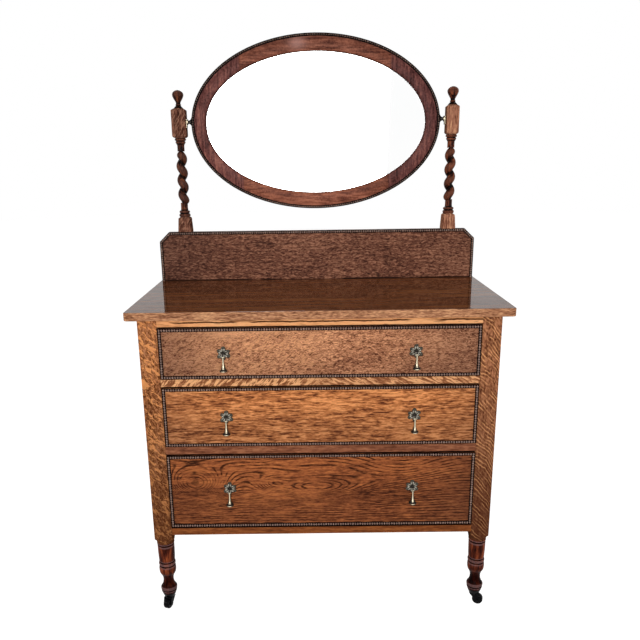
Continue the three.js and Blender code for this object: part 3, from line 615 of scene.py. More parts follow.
# Stained oaks: what each is called, its dark, middle and light tones as display values, its layers of
# figure, and what else it has. A layer is how dense it is along and across the grain, its strength and its
# swirl. The names that oak gives the other numbers say what each of them is.
OAKS = {
    "top": dict(
        name="oak, top", tones=((72, 38, 20), (118, 68, 38), (148, 92, 52)),
        layers=((3, 40, 1.6, 0), (12, 160, 0.8, 0)), veins=(5, 70, 0.63, 0.7, 0.5), gloss=0.0, coat=0.66,
        coat_rough=0.05),
    "top_edge": dict(
        name="oak, edge of the top", tones=((96, 56, 36), (166, 114, 82), (214, 160, 116)),
        layers=((45, 230, 1.9, 0.9), (110, 340, 1.4, 0), (7, 20, 0.8, 0))),
    "rail_top": dict(
        name="oak, rail under the top", tones=((150, 88, 50), (238, 168, 112), (252, 200, 144)),
        layers=((6, 90, 1.2, 0), (50, 240, 0.6, 0)), drift=0.01, veins=(9, 120, 0.6, 0.66, 0.7),
        ragged_line_and_shadow=(0.7862, 0.008, 1.0)),
    "rail_upper": dict(
        name="oak, upper rail", tones=((100, 54, 31), (165, 107, 70), (208, 150, 107)),
        layers=((20, 180, 1.4, 0), (90, 300, 1.2, 0)),
        flecks=(
            (48, 45, 190, 0.47, 0.56, 0.85, (238, 178, 124), -1),
            (48, 45, 190, 0.48, 0.4, 0.7, (112, 62, 36), -1),
            (-28, 45, 190, 0.47, 0.56, 0.8, (232, 172, 120), 1),
            (-28, 45, 190, 0.48, 0.4, 0.7, (116, 66, 40), 1))),
    "rail_lower": dict(
        name="oak, lower rail", tones=((84, 46, 30), (132, 80, 56), (170, 112, 78)),
        layers=((20, 170, 1.6, 0), (80, 260, 1.2, 0))),
    "rail_bottom": dict(
        name="oak, bottom rail", tones=((78, 40, 18), (128, 70, 36), (162, 98, 52)),
        # painted shadow along its top edge, in the gap under the lower drawer
        layers=((14, 150, 1.6, 0), (80, 260, 1.0, 0)), shades=((60, 40, 36), ("z", 0.2441, 0.2449, 1.0))),
    "drawer_upper": dict(
        name="oak, upper drawer", tones=((90, 50, 35), (174, 116, 83), (228, 166, 121)),
        layers=((105, 270, 3.0, 1.5), (45, 120, 0.6, 0.8), (5, 14, 0.8, 0)),
        flecks=((38, 60, 230, 0.5, 0.6, 0.7, (216, 154, 108), -1),),
        patches=((-0.23, 0.757, 0.05, 0.012, 0.6), (-0.12, 0.762, 0.07, 0.006, 0.5)),
        shades=((178, 176, 186), ("x", -0.17, -0.38, 0.82), ("x", 0.1, 0.38, 0.8), ("z", 0.735, 0.66, 0.3)),
        front=DRAWER_FACE),
    "drawer_middle": dict(
        name="oak, middle drawer", tones=((94, 49, 29), (182, 111, 64), (232, 155, 96)),
        layers=((34, 250, 2.8, 0.5), (90, 330, 1.6, 0.4), (6, 18, 0.9, 0)), drift=0.012,
        shades=((182, 188, 210), ("x", -0.24, -0.39, 0.45), ("x", 0.24, 0.39, 0.4), ("z", 0.6, 0.5, 0.46)),
        front=DRAWER_FACE),
    "drawer_lower": dict(
        name="oak, lower drawer", tones=((68, 33, 19), (148, 83, 48), (194, 115, 64)),
        layers=((24, 220, 1.4, 0.5), (90, 330, 1.4, 0), (4, 14, 1.0, 0)), drift=0.012,
        contours=(
            0.0078, 1.9, 0.95,
            (
                (-0.318, 0.372, 0.075, 0.05, 14, 1), (-0.122, 0.377, 0.032, 0.02, 3, 1),
                (-0.01, 0.36, 0.14, 0.036, 11.5, 1), (0.2, 0.41, 0.11, 0.06, 4.5, 0))),
        patches=((-0.31, 0.405, 0.02, 0.008, 0.6), (-0.29, 0.372, 0.03, 0.008, 0.4)),
        knots=((-0.317, 0.4, 0.0042), (-0.04, 0.355, 0.0025)),
        shades=((182, 188, 210), ("x", -0.2, -0.39, 0.1), ("x", 0.18, 0.39, 0.75), ("z", 0.41, 0.3, 0.38)),
        front=DRAWER_FACE),
    "backboard": dict(
        name="oak, backboard", tones=((62, 34, 25), (116, 73, 56), (164, 114, 88)),
        layers=((80, 240, 2.8, 1.2), (120, 330, 1.6, 0.4), (5, 12, 0.9, 0)), drift=0.02,
        contours=(0.011, 3, 0.35, ((0.05, 0.82, 0.05, 0.02, 5, 0), (0.19, 0.83, 0.06, 0.03, 5, 0))),
        knots=((0.052, 0.8195, 0.0025), (0.178, 0.8245, 0.0042), (0.15, 0.829, 0.003)),
        shades=((180, 180, 190), ("x", -0.2, -0.44, 0.75), ("x", 0.2, 0.44, 0.25)),
        # painted shadow along the backboard's foot, where it meets the top
        ragged_line_and_shadow=(0.8168, 0.0015, 1.0)),
    "post_left": dict(
        name="oak, left posts", tones=((82, 44, 23), (142, 87, 54), (185, 124, 85)),
        layers=((110, 200, 2.4, 1.0), (180, 330, 1.8, 0), (6, 14, 0.7, 0)), grain="z",
        flecks=(
            (-42, 48, 110, 0.55, 0.59, 0.9, (226, 152, 92), 0),
            (-62, 80, 210, 0.55, 0.61, 0.7, (214, 140, 86), 0)),
        fade=(0.2, 0.75, 0.78), gloss=0.0),
    "post_right": dict(
        name="oak, right posts", tones=((76, 38, 24), (158, 102, 70), (198, 136, 96)),
        layers=((60, 190, 1.4, 0), (160, 330, 1.4, 0), (6, 12, 0.9, 0)), grain="z",
        lines=(0.385, 0.0105, 1.0, (230, 166, 108)), fade=(0.19, 0.72, 0.85), gloss=0.0),
    "side": dict(
        name="oak, sides", tones=((96, 56, 34), (142, 88, 54), (178, 118, 76)),
        layers=((7, 110, 1.6, 0.4), (60, 280, 0.8, 0), (3, 8, 0.6, 0)), grain="z", drift=0.02,
        contours=(0.016, 4, 0.5, ())),
    "leg": dict(
        name="oak, turned feet", tones=((26, 9, 8), (84, 36, 23), (160, 82, 48)),
        layers=((16, 110, 2.4, 0.4), (80, 280, 0.8, 0)), grain="z", wear_and_highlight=(124, 94, 92),
        shades=((100, 62, 56), ("z", 0.122, 0.096, 0.9)), gloss=0.015, rough=0.3),
    "standard_left": dict(
        name="oak, left standard", tones=((48, 26, 20), (100, 62, 49), (152, 105, 84)),
        layers=((22, 220, 2.4, 0.3), (80, 320, 1.2, 0)), grain="z",
        flecks=((62, 50, 240, 0.5, 0.6, 0.45, (186, 136, 110), 0),), gloss=0.0),
    "standard_right": dict(
        name="oak, right standard", tones=((92, 52, 38), (164, 110, 86), (212, 158, 120)),
        layers=((22, 220, 2.4, 0.3), (80, 320, 1.2, 0)), grain="z", gloss=0.0),
    "turning_left": dict(
        name="oak, left turnings", tones=((20, 9, 8), (62, 33, 25), (126, 73, 48)),
        layers=((30, 110, 3.4, 0.8), (80, 320, 1.0, 0)), grain="z", wear_and_highlight=(92, 60, 50), gloss=0.03,
        rough=0.24),
    "turning_right": dict(
        name="oak, right turnings", tones=((20, 8, 7), (62, 29, 21), (136, 74, 49)),
        layers=((30, 110, 3.4, 0.8), (80, 320, 1.0, 0)), grain="z", wear_and_highlight=(118, 70, 52), gloss=0.03,
        rough=0.24),
    "drawer_wood": dict(
        name="plain oak inside", tones=((148, 108, 70), (186, 148, 104), (208, 176, 132)),
        layers=((5, 120, 1.6, 0), (50, 300, 0.6, 0)), grain="y", rough=0.62),
    "panel_wood": dict(
        name="plain wood behind", tones=((112, 78, 48), (150, 110, 72), (178, 138, 94)),
        layers=((4, 60, 1.6, 0), (50, 240, 0.6, 0)), rough=0.66),
}


def oak(name, tones, layers, grain="x", drift=0.0, contours=None, lines=None, flecks=(), veins=None, knots=(),
        fade=None, shades=(), wear_and_highlight=None, ragged_line_and_shadow=None, front=None, patches=(), gloss=0.04, rough=0.4, coat=0.0,
        coat_rough=0.12):
    """One of the stained oaks."""
    s = Shade(name)
    x, y, z = s.split(s.coordinates())
    dark, middle, light = (shown(*tone) for tone in tones)
    along, across, deep = {"x": (x, z, y), "z": (z, x, y), "y": (y, x, z)}[grain]

    def figure(length, width, detail=2.0, roughness=0.55, swirl=0.0):
        """A noise drawn out along the grain."""
        return s.noise(s.point(along * length, across * width, deep * width), 1, detail, roughness, swirl)

    if drift:
        across = across + (figure(5, 9) - 0.5) * drift
    tone = 0.5
    for length, width, strength, swirl in layers:
        tone = (figure(length, width, 2.5, 0.55, swirl) - 0.5) * strength + tone
    relief = tone
    colour = s.ramp(tone, dark, middle, light)
    # Year rings, as broken lines that bend round swirls
    if contours:
        spacing, wobble, share, swirls = contours
        field = across / spacing + (figure(4, 16, 2.5, 0.5, 0.5) - 0.5) * wobble
        for middle_x, middle_z, wide, high, count, ring in swirls:
            swirl = bell(x, z, middle_x, middle_z, wide, high)
            field = field + swirl * ((z - middle_z) * (-ring / spacing) + count)
        line = field.wave().between(0.48, 0.98) * figure(22, 60).between(0.35, 0.56)
        line = line * figure(75, 400).between(0.2, 0.5)
        colour = s.mix(line * share, colour, scaled(dark, 0.35))
        relief = relief - line
    for *spot, share in patches:
        colour = s.mix(bell(x, z, *spot) * share, colour, light)
    # Darker towards the bottom, fading out upwards
    if fade:
        fade_low, fade_high, share = fade
        faded = z.between(fade_low, fade_high)
        colour = s.mix(faded * -share + share, colour, scaled(dark, 0.8))
    # Ray flecks, as slanting dashes in a tint of their own
    for slope, length, width, low, high, share, tint, side in flecks:
        slope = math.radians(slope)
        level = x * math.cos(slope) + z * math.sin(slope)
        upright = z * math.cos(slope) - x * math.sin(slope)
        dashes = s.noise(s.point(level * length, upright * width, y * length), 1, 2, 0.5, 0.9)
        fleck = dashes.between(low, high)
        if side:
            fleck = fleck * (x * side).between(-0.06, 0.06)
        if fade:
            fleck = fleck * (faded * 0.7 + 0.3)
        colour = s.mix(fleck * share, colour, shown(*tint))
        relief = relief + fleck * 0.5
    # Light lines that sweep up from a post's inner edge
    if lines:
        left, pitch, share, tint = lines
        from_left = abs(x) - left
        bent = z + from_left * 0.62 + from_left * from_left * 9
        wave = (bent / pitch + (s.noise(s.point(x * 30, z * 16, y * 20), 1, 2.5) - 0.5) * 3).wave()
        line = wave.between(0.84, 1.0)
        if fade:
            line = line * (faded * 0.6 + 0.4)
        seen = s.noise(s.point(x * 40, bent * 60, y * 20), 1, 2, 0.5, 0.3)
        colour = s.mix((1 - wave).between(0.6, 1) * seen.between(0.3, 0.55) * 0.5, colour, scaled(dark, 0.8))
        colour = s.mix(line * seen.between(0.38, 0.62) * share, colour, shown(*tint))
        relief = relief + line * 0.5
    if veins:
        length, width, low, high, share = veins
        colour = s.mix(figure(length, width, 3, 0.6, 0.6).between(low, high) * share, colour,
                       scaled(dark, 0.45))
    for knot_x, knot_z, size in knots:
        colour = s.mix(bell(x, z, knot_x, knot_z, size * 1.5, size) * 0.95, colour, scaled(dark, 0.25))
    # One ragged dark line at a height: a wavy dark line across the rail under the top, and painted shadow
    # along the backboard's foot
    if ragged_line_and_shadow:
        height, wander, share = ragged_line_and_shadow
        ragged = z + (s.noise(s.point(x * 26, z * 20, y), 1, 3, 0.6) - 0.5) * wander
        seen = s.noise(s.point(x * 9, 0, y), 1, 1).between(0.4, 0.5)
        colour = s.mix((1 - abs(ragged - height).between(0.0011, 0.0024)) * seen * share, colour,
                       scaled(dark, 0.25))
    # Painted shade in the gap round a drawer's front, on its edges behind the face
    if front is not None:
        painted_gap_shade = y.between(front + 0.0003, front + 0.0012) * (front + 0.012 - y).between(0, 0.001)
        colour = s.mix(painted_gap_shade * 0.97, colour, scaled(dark, 0.1))
    # A darker tint, and where it comes in along an axis: towards a board's ends or bottom, and as painted
    # shadow on the bottom rail's top edge in the gap under the lower drawer
    for axis, start, end, share in shades[1:]:
        where = {"x": x, "z": z}[axis].between(start, end)
        colour = s.mix(where * share, colour, shown(*shades[0]), "MULTIPLY")
    # Turned wood: darker in its grooves, and a painted highlight on its crests
    if wear_and_highlight:
        depth = s.depth()
        colour = s.mix(depth.between(0.05, 0.9) * 0.92, colour, scaled(dark, 0.12))
        colour = s.mix((depth * -1).between(0.05, 0.7) * 0.55, colour, shown(*wear_and_highlight))
    pores = figure(45, 620, 2, 0.5).between(0.58, 0.7)
    colour = s.mix(pores * 0.5, colour, scaled(dark, 0.6))
    s.bump(relief * 0.4 - pores, 0.0004, 0.4)
    return s.set(Base_Color=colour, Roughness=pores * 0.2 + rough, Specular_IOR_Level=gloss,
                 Coat_Weight=pores * (-0.5 * coat) + coat, Coat_Roughness=coat_rough)


def mirror_oak():
    """The oval frame: upright grain in its side segments, level grain above and below, thin joints."""
    s = Shade("oak, mirror frame")
    at = s.coordinates()
    x, y, z = s.split(at)
    level = s.noise(s.point(x * 18, z * 170, y * 170), 1, 2.5, 0.55, 0.6)
    upright = s.noise(s.point(x * 170, z * 18, y * 170), 1, 2.5, 0.55, 0.6)
    speck = s.noise(at, 260, 2)
    rest = (speck - 0.5) * 0.9 + (s.noise(at, 12, 2) - 0.5) * 0.9 + 0.5
    above = s.ramp((level - 0.5) * 1.7 + rest, shown(64, 30, 24), shown(132, 78, 60), shown(180, 114, 88))
    beside = s.ramp((upright - 0.5) * 1.7 + rest, shown(50, 26, 24), shown(108, 65, 60), shown(156, 100, 86))
    colour = s.mix(abs(x).between(0.2, 0.208), above, beside)
    joint = 1 - abs(abs(x) - 0.204).between(0.0002, 0.0012)
    colour = s.mix(joint * 0.4, colour, shown(34, 18, 16))
    # Painted shadow of the rebate along the sight edge
    inner = (x / SIGHT[0]) ** 2 + ((z - SIGHT_MIDDLE) / SIGHT[1]) ** 2
    colour = s.mix((1 - inner.between(1.01, 1.035)) * 0.6, colour, shown(30, 16, 16))
    colour = s.mix(x.between(0.16, 0.3) * 0.35, colour, shown(186, 186, 206), "MULTIPLY")
    colour = s.mix(z.between(1.4, 1.45) * 0.55, colour, shown(192, 190, 196), "MULTIPLY")
    # A painted highlight near the top of the frame
    colour = s.mix(bell(x, z, -0.048, 1.452, 0.022, 0.016) * 0.45, colour, shown(196, 150, 140))
    s.bump(level * 0.5 + speck * 0.3 - joint, 0.0003, 0.3)
    return s.set(Base_Color=colour, Roughness=speck * 0.08 + 0.3, Specular_IOR_Level=0.03)


def patchy(name, first, second, scale, detail, span, rough, change, **constants):
    """A finish that wanders between two colours, with a roughness that follows."""
    s = Shade(name)
    patch = s.noise(s.coordinates(), scale, detail)
    if span:
        patch = patch.between(*span)
    return s.set(Base_Color=s.mix(patch, first, second), Roughness=patch * change + rough, **constants)


def mirror_beads(bead):
    """Darker than the other beads, and lighter at the bottom of the oval."""
    s = Shade("carved beads of the mirror")
    at = s.coordinates()
    wear_and_highlight = s.noise(at, 170, 3).between(0.4, 0.75)
    low = 1 - s.split(at)[2].between(1.02, 1.08)
    return s.set(Base_Color=s.mix(wear_and_highlight * 0.6 + low * 0.4, scaled(bead, 0.5), scaled(bead, 2.0)),
                 Roughness=wear_and_highlight * 0.12 + 0.24, Specular_IOR_Level=0.1)


def brass_with_painted_highlight(brass, bronze):
    """Painted highlight where it faces the front, and dark bronze on its flanks as a painted dark reflection,
    with spots of tarnish.
    """
    s = Shade("brass with painted highlight")
    tarnish = s.noise(s.coordinates(), 420, 4, 0.6).between(0.5, 0.72)
    rubbed_and_lit = (s.split(s.coordinates("Normal"))[1] * -1).between(0.78, 1.0)
    return s.set(Base_Color=s.mix(rubbed_and_lit * (1 - tarnish * 0.4), bronze, brass), Metallic=1.0,
                 Roughness=tarnish * 0.2 + 0.36)


def tarnished_bronze(bronze, rubbed_and_lit):
    """Rubbed where a rosette stands proud, with a painted highlight where it faces up, to the front and to
    the left, dark at the petals' rims.
    """
    s = Shade("tarnished bronze")
    at = s.coordinates()
    wear_and_highlight = s.noise(at, 380, 3, 0.6).between(0.42, 0.62)
    raised = (s.split(at)[1] * -1 + DRAWER_FACE).between(0.0016, 0.0042)
    level, inward, upward = s.split(s.coordinates("Normal"))
    # Painted highlight: lighter where a petal faces up, to the front and to the left
    above = (upward * 0.5 - inward * 0.8 - level * 0.3).between(0.3, 0.9)
    rim = s.depth().between(0.56, 0.86)
    return s.set(Base_Color=s.mix(above * raised * (1 - rim * 0.85) * (wear_and_highlight * 0.5 + 0.5), bronze, rubbed_and_lit),
                 Metallic=0.9, Roughness=0.5 - wear_and_highlight * 0.12)


def build_finishes(colours):
    """Every finish by name."""
    bead, ground, brass, bronze, rubbed_and_lit, castor = (
        tuple(getattr(colours, name)) for name in ("bead", "ground", "brass", "bronze", "rubbed_and_lit", "castor"))
    made = {key: oak(**what) for key, what in OAKS.items()}
    made["mirror"] = mirror_oak()
    made["bead"] = patchy("carved beads", bead, scaled(bead, 2.2), 170, 3, (0.4, 0.75), 0.24, 0.12,
                          Specular_IOR_Level=0.16)
    made["bead_mirror"] = mirror_beads(bead)
    made["bead_ground"] = patchy("ground behind the beads", ground, scaled(ground, 2.6), 120, 3, (0.35, 0.8),
                                 0.5, 0.2, Specular_IOR_Level=0.0)
    made["brass"] = brass_with_painted_highlight(brass, bronze)
    made["bronze"] = tarnished_bronze(bronze, rubbed_and_lit)
    made["steel"] = patchy("dark steel", (0.01, 0.0085, 0.0075), (0.045, 0.038, 0.032), 300, 3, None, 0.3,
                           0.2, Metallic=0.8)
    made["castor"] = patchy("black gloss", castor, scaled(castor, 2.5), 90, 4, (0.5, 0.8), 0.12, 0.12,
                            Specular_IOR_Level=0.035)
    made["glass"] = patchy("silvered glass", (0.97, 0.975, 0.975), (0.99, 0.99, 0.99), 9, 2, None, 0.005,
                           0.01, Metallic=1.0)
    return made


FINISHES = {}


class ChestStep(bpy.types.Operator):
    """Shared settings of the steps."""

    bl_idname = "chest.step"
    bl_label = "Step"
    bl_options = {"REGISTER"}

    @property
    def sizes(self):
        return bpy.context.scene.chest_sizes

    @property
    def sides(self):
        return self.sizes.turned_sides


class CHEST_OT_finishes(ChestStep):
    """Makes the finishes and gives them to the solids that are shown as they are"""

    bl_idname = "chest.finishes"
    bl_label = "Finishes"

    def execute(self, context):
        FINISHES.update(build_finishes(context.scene.chest_colours))
        coats = {"back_panel": "panel_wood", "mirror_backing": "panel_wood", "mirror_glass": "glass"}
        for name in ("rail_top", "rail_upper", "rail_lower", "rail_bottom", "backboard"):
            coats[name] = name
        for level in LEVELS:
            coats[f"drawer_{level}_front"] = f"drawer_{level}"
            for part in ("side_left", "side_right", "back", "bottom"):
                coats[f"drawer_{level}_{part}"] = "drawer_wood"
        for name, node in frame["nodes"].items():
            painted(node, coats.get(name, "side"))
        return {"FINISHED"}


class CHEST_OT_top(ChestStep):
    """Makes the top, with rounded front corners and edges"""

    bl_idname = "chest.top"
    bl_label = "Top"

    def execute(self, context):
        low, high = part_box("top")
        top = selected(boxed("top_board", low, high))
        for corner, offset, steps in ((True, 0.009, 5), (False, 0.0018, 3)):
            open_mesh("DESELECT")
            bpy.ops.mesh.select_mode(type="EDGE")
            close_mesh()
            for edge in top.data.edges:
                a, b = (top.data.vertices[i].co for i in edge.vertices)
                upright = abs(a.z - b.z) > 0.001
                behind = a.y > high.y - 0.001 and b.y > high.y - 0.001
                front = a.y < low.y + 0.001 and b.y < low.y + 0.001
                inner = abs(a.x) < 0.45 and abs(a.x - b.x) < 1e-4
                edge.select = upright and front if corner else not upright and not behind and not inner
            bpy.ops.object.mode_set(mode="EDIT")
            bpy.ops.mesh.bevel(offset=offset, segments=steps, affect="EDGES")
            close_mesh()
        smooth(30)
        painted(top, "top", "top_edge")
        for face in top.data.polygons:
            face.material_index = 0 if face.normal.z > 0.8 else 1
        dressed(top, "chest", "oak_top", "top")
        return {"FINISHED"}


class CHEST_OT_posts(ChestStep):
    """Makes the corner posts: square above, turned below, the shoulder cut where the two shapes meet"""

    bl_idname = "chest.posts"
    bl_label = "Corner posts"

    def execute(self, context):
        low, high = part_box("post_front_right")
        centre = ((low.x + high.x) / 2, (low.y + high.y) / 2)
        half = (high.x - low.x) / 2
        foot = low.z + 0.002
        post = turned("post", LEG, foot, LEG_LENGTH, half, self.sides * 2, centre, 5)
        square = softened(boxed("square", (low.x, low.y, low.z - 0.01), high), 0.0012)
        cut(post, square, "INTERSECT")
        discard(square)
        smooth(30)
        line = [(foot + along * LEG_LENGTH, across * half) for along, across in flowing(LEG, 5)]
        grooved(post, line, foot, foot + GROOVED_SHARE * LEG_LENGTH)
        plate = turned("plate", PLATE, low.z, 0.0021, 0.0115, 32, centre)
        turned_top = foot + TURNED_SHARE * LEG_LENGTH
        for corner in CORNERS:
            side = corner.split("_")[1]
            node_low, node_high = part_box(f"post_{corner}")
            shift = Matrix.Translation((0, (node_low.y + node_high.y) / 2 - centre[1], 0)) @ SIDES[side]
            piece = painted(copied(post, f"corner_post_{corner}", shift), f"post_{side}", "leg", "castor")
            for face in piece.data.polygons:
                height = face.center.z
                face.material_index = 2 if height < SOCKET_TOP else 1 if height < turned_top else 0
            dressed(piece, "chest", "oak_case", f"post_{corner}")
            cover = painted(copied(plate, f"castor_plate_{corner}", shift), "castor")
            dressed(cover, "chest", "castor_black")
        discard(post, plate)
        return {"FINISHED"}


def bead_strip(name, corners, face, closed, sizes):
    """A moulding along an outline in the XZ plane, with a row of carved beads down its middle."""
    width, proud = sizes.strip_width, sizes.strip_depth
    ground = proud * 0.45

    def pairs(points):
        return list(zip(points, points[1:] + points[:1] if closed else points[1:]))

    corners = [Vector(corner) for corner in corners]
    runs = [(a, b, (b - a).normalized()) for a, b in pairs(corners)]
    inward = [Vector((d.y, -d.x)) for _, _, d in runs]
    middle = []
    for i, corner in enumerate(corners):
        before = inward[i - 1] if closed or i else inward[0]
        after = inward[i] if i < len(inward) else inward[-1]
        total = before + after
        middle.append(corner + total * (width / total.length_squared))
    parts = []
    for (a, b, d), side in zip(runs, inward):
        centre = (a + b) / 2 + side * width / 2
        run = bar("bar", (centre.x, face - ground / 2, centre.y), ((b - a).length, ground, width),
                  (0, -math.atan2(d.y, d.x), 0))
        parts.append(painted(softened(run, 0.0009), "bead_ground"))
    steps = pairs(middle)
    for a, b in steps:
        count = max(1, round((b - a).length / sizes.bead_pitch))
        step = (b - a) / count
        size = (0.42 * sizes.bead_width, proud - ground, 0.5 * sizes.bead_width)
        last = not closed and (a, b) == steps[-1]
        row = row_of_beads((a.x, face - ground, a.y), size, count + 1 if last else count, (step.x, 0, step.y))
        parts.append(painted(apply_modifiers(row), "bead"))
    return joined(name, parts)


class CHEST_OT_beads(ChestStep):
    """Makes the beaded mouldings round the drawers and on the backboard"""

    bl_idname = "chest.beads"
    bl_label = "Beads"

    def execute(self, context):
        for level in LEVELS:
            low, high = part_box(f"drawer_{level}_front")
            corners = [(low.x, low.z), (low.x, high.z), (high.x, high.z), (high.x, low.z)]
            strip = bead_strip(f"beads_{level}", corners, low.y, True, self.sizes)
            dressed(strip, f"drawer_{level}", "bead", f"drawer_{level}_moulding")
        low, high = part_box("backboard")
        cut_x, cut_z = 0.028, 0.027
        corners = [(low.x, low.z), (low.x, high.z - cut_z), (low.x + cut_x, high.z), (high.x - cut_x, high.z),
                   (high.x, high.z - cut_z), (high.x, low.z)]
        strip = bead_strip("beads_backboard", corners, low.y, False, self.sizes)
        dressed(strip, "chest", "bead", "backboard_moulding")
        return {"FINISHED"}


class CHEST_OT_pulls(ChestStep):
    """Makes the pulls: a rosette of six petals, and a drop with a turned stem that hangs from it"""

    bl_idname = "chest.pulls"
    bl_label = "Pulls"

    def execute(self, context):
        pivot = JOINTS["drop_upper_right_swing"]
        x, y, z = pivot
        rosette, drop = self.rosette(x, y, z), self.drop(x, y, z)
        for level in LEVELS:
            for side, hand in SIDES.items():
                shift = Matrix.Translation(JOINTS[f"drop_{level}_{side}_swing"] - hand @ pivot) @ hand
                dressed(copied(rosette, f"petals_{level}_{side}", shift), f"drawer_{level}", "brass",
                        f"rosette_{level}_{side}")
                dressed(copied(drop, f"pull_{level}_{side}", shift), f"drop_{level}_{side}", "brass",
                        f"drop_{level}_{side}")
        discard(rosette, drop)
        return {"FINISHED"}

    def rosette(self, x, y, z):
        """Six cupped petals of uneven turn and size on a plate, with the eye that the drop hangs in."""
        reach = self.sizes.petal_reach
        face = DRAWER_FACE - 0.0003
        petals = []
        uneven = ((0, 1.0), (5, 0.93), (-4, 0.98), (3, 0.92), (-5, 0.97), (2, 0.94))
        for k, (swing, share) in enumerate(uneven):
            outwards = turn(-90 - 60 * k - swing, "Y")
            place = Matrix.Translation((x, face, z)) @ outwards @ Matrix.Scale(share, 4)
            parts = [ball("leaf", (0.0105, -0.0004, 0), (reach - 0.0105, 0.0015, 0.006), 20),
                     ball("tip", (0.0153, -0.0008, 0), (0.0026, 0.0021, 0.0032), 12, 6)]
            parts += [ball("fold", (0.0088, -0.0012, s * 0.0026), (0.0055, 0.003, 0.0029)) for s in (-1, 1)]
            petals.append(moved(joined("petal", parts), place))
        plate = rod("plate", (x, face, z), (x, face - 0.0012, z), 0.0095)
        cup = ball("cup", (x, face - 0.001, z), (0.0034, 0.0022, 0.0034), 20, 10)
        eye = rod("eye", (x - 0.0017, y, z), (x + 0.0017, y, z), 0.0038)
        stalk = rod("stalk", (x, y + 0.003, z), (x, face - 0.001, z), 0.0018, 12)
        centre = [painted(part, "steel") for part in (cup, softened(eye, 0.0006), stalk)]
        rosette = joined("rosette", [painted(part, "bronze") for part in (*petals, plate)] + centre)
        return noted(rosette, [min(1, math.hypot(v.co.x - x, v.co.z - z) / reach)
                               for v in rosette.data.vertices])

    def drop(self, x, y, z):
        """A turned stem, collar and rim under a forked hanger with its bar."""
        length, radius = 0.041, 0.0097
        parts = [painted(turned(name, strokes, z - length, length, radius, sides, (x, y)), finish)
                 for name, strokes, sides, finish in (
                     ("stem", DROP_STEM, 24, "brass"), ("collar", DROP_COLLAR, 32, "steel"),
                     ("rim", DROP_RIM, 32, "brass"))]
        inner, outer, thick = 0.0021, 0.0037, 0.0022
        bridge = boxed("bridge", (x - outer, y - thick, z - 0.0066), (x + outer, y + thick, z - 0.0044))
        cheeks = [rod("cheek", (x + s * inner, y, z), (x + s * outer, y, z), thick, 16) for s in (-1, 1)]
        ears = [boxed("ear", (x + min(s * inner, s * outer), y - thick, z - 0.0055),
                      (x + max(s * inner, s * outer), y + thick, z)) for s in (-1, 1)]
        pin = rod("bar", (x - outer, y, z), (x + outer, y, z), 0.0018, 12)
        parts.append(painted(softened(bridge, 0.0006), "brass"))
        return joined("drop", parts + [painted(part, "bronze") for part in (pin, *cheeks, *ears)])


def rope(sizes, foot, height, sides):
    """The single twist: a round bar screwed up round an axis, with a ball at each end."""
    radius, throw, pitch = sizes.twist_radius, sizes.twist_throw, sizes.twist_pitch
    rate = 2 * math.pi / pitch
    low, high = 0.0075, height - 0.0075
    top_angle = math.pi + 2 * math.pi * 0.44
    angles = [top_angle - rate * (height - z) for z in (low, high)]
    along = Vector((-math.sin(angles[0]) * throw * rate, math.cos(angles[0]) * throw * rate, 1))
    clear_selection()
    bpy.ops.mesh.primitive_circle_add(
        vertices=sides, radius=radius,
        location=(throw * math.cos(angles[0]), throw * math.sin(angles[0]), low),
        rotation=along.to_track_quat("Z", "Y").to_euler())
    keep_place()
    screw = active().modifiers.new("screw", "SCREW")
    screw.angle = angles[1] - angles[0]
    screw.screw_offset = high - low
    screw.steps = screw.render_steps = round((angles[1] - angles[0]) / math.radians(13))
    apply_modifiers(active())
    open_mesh()
    bpy.ops.mesh.remove_doubles(threshold=1e-6)
    bpy.ops.mesh.fill_holes(sides=0)
    close_mesh()
    parts = [finished("bar", 60)]
    for z, angle in zip((low, high), angles):
        end = (throw * math.cos(angle), throw * math.sin(angle), z)
        parts.append(ball("end", end, (radius,) * 3, sides, 24))
    whole = joined("rope", parts)
    # The crest lies far from the axis and the groove near it
    halfway, reach = 0.0121, 0.004
    noted(whole, [max(-1, min(1, (halfway - math.hypot(v.co.x, v.co.y)) / reach))
                  for v in whole.data.vertices])
    return moved(whole, Matrix.Translation(foot))


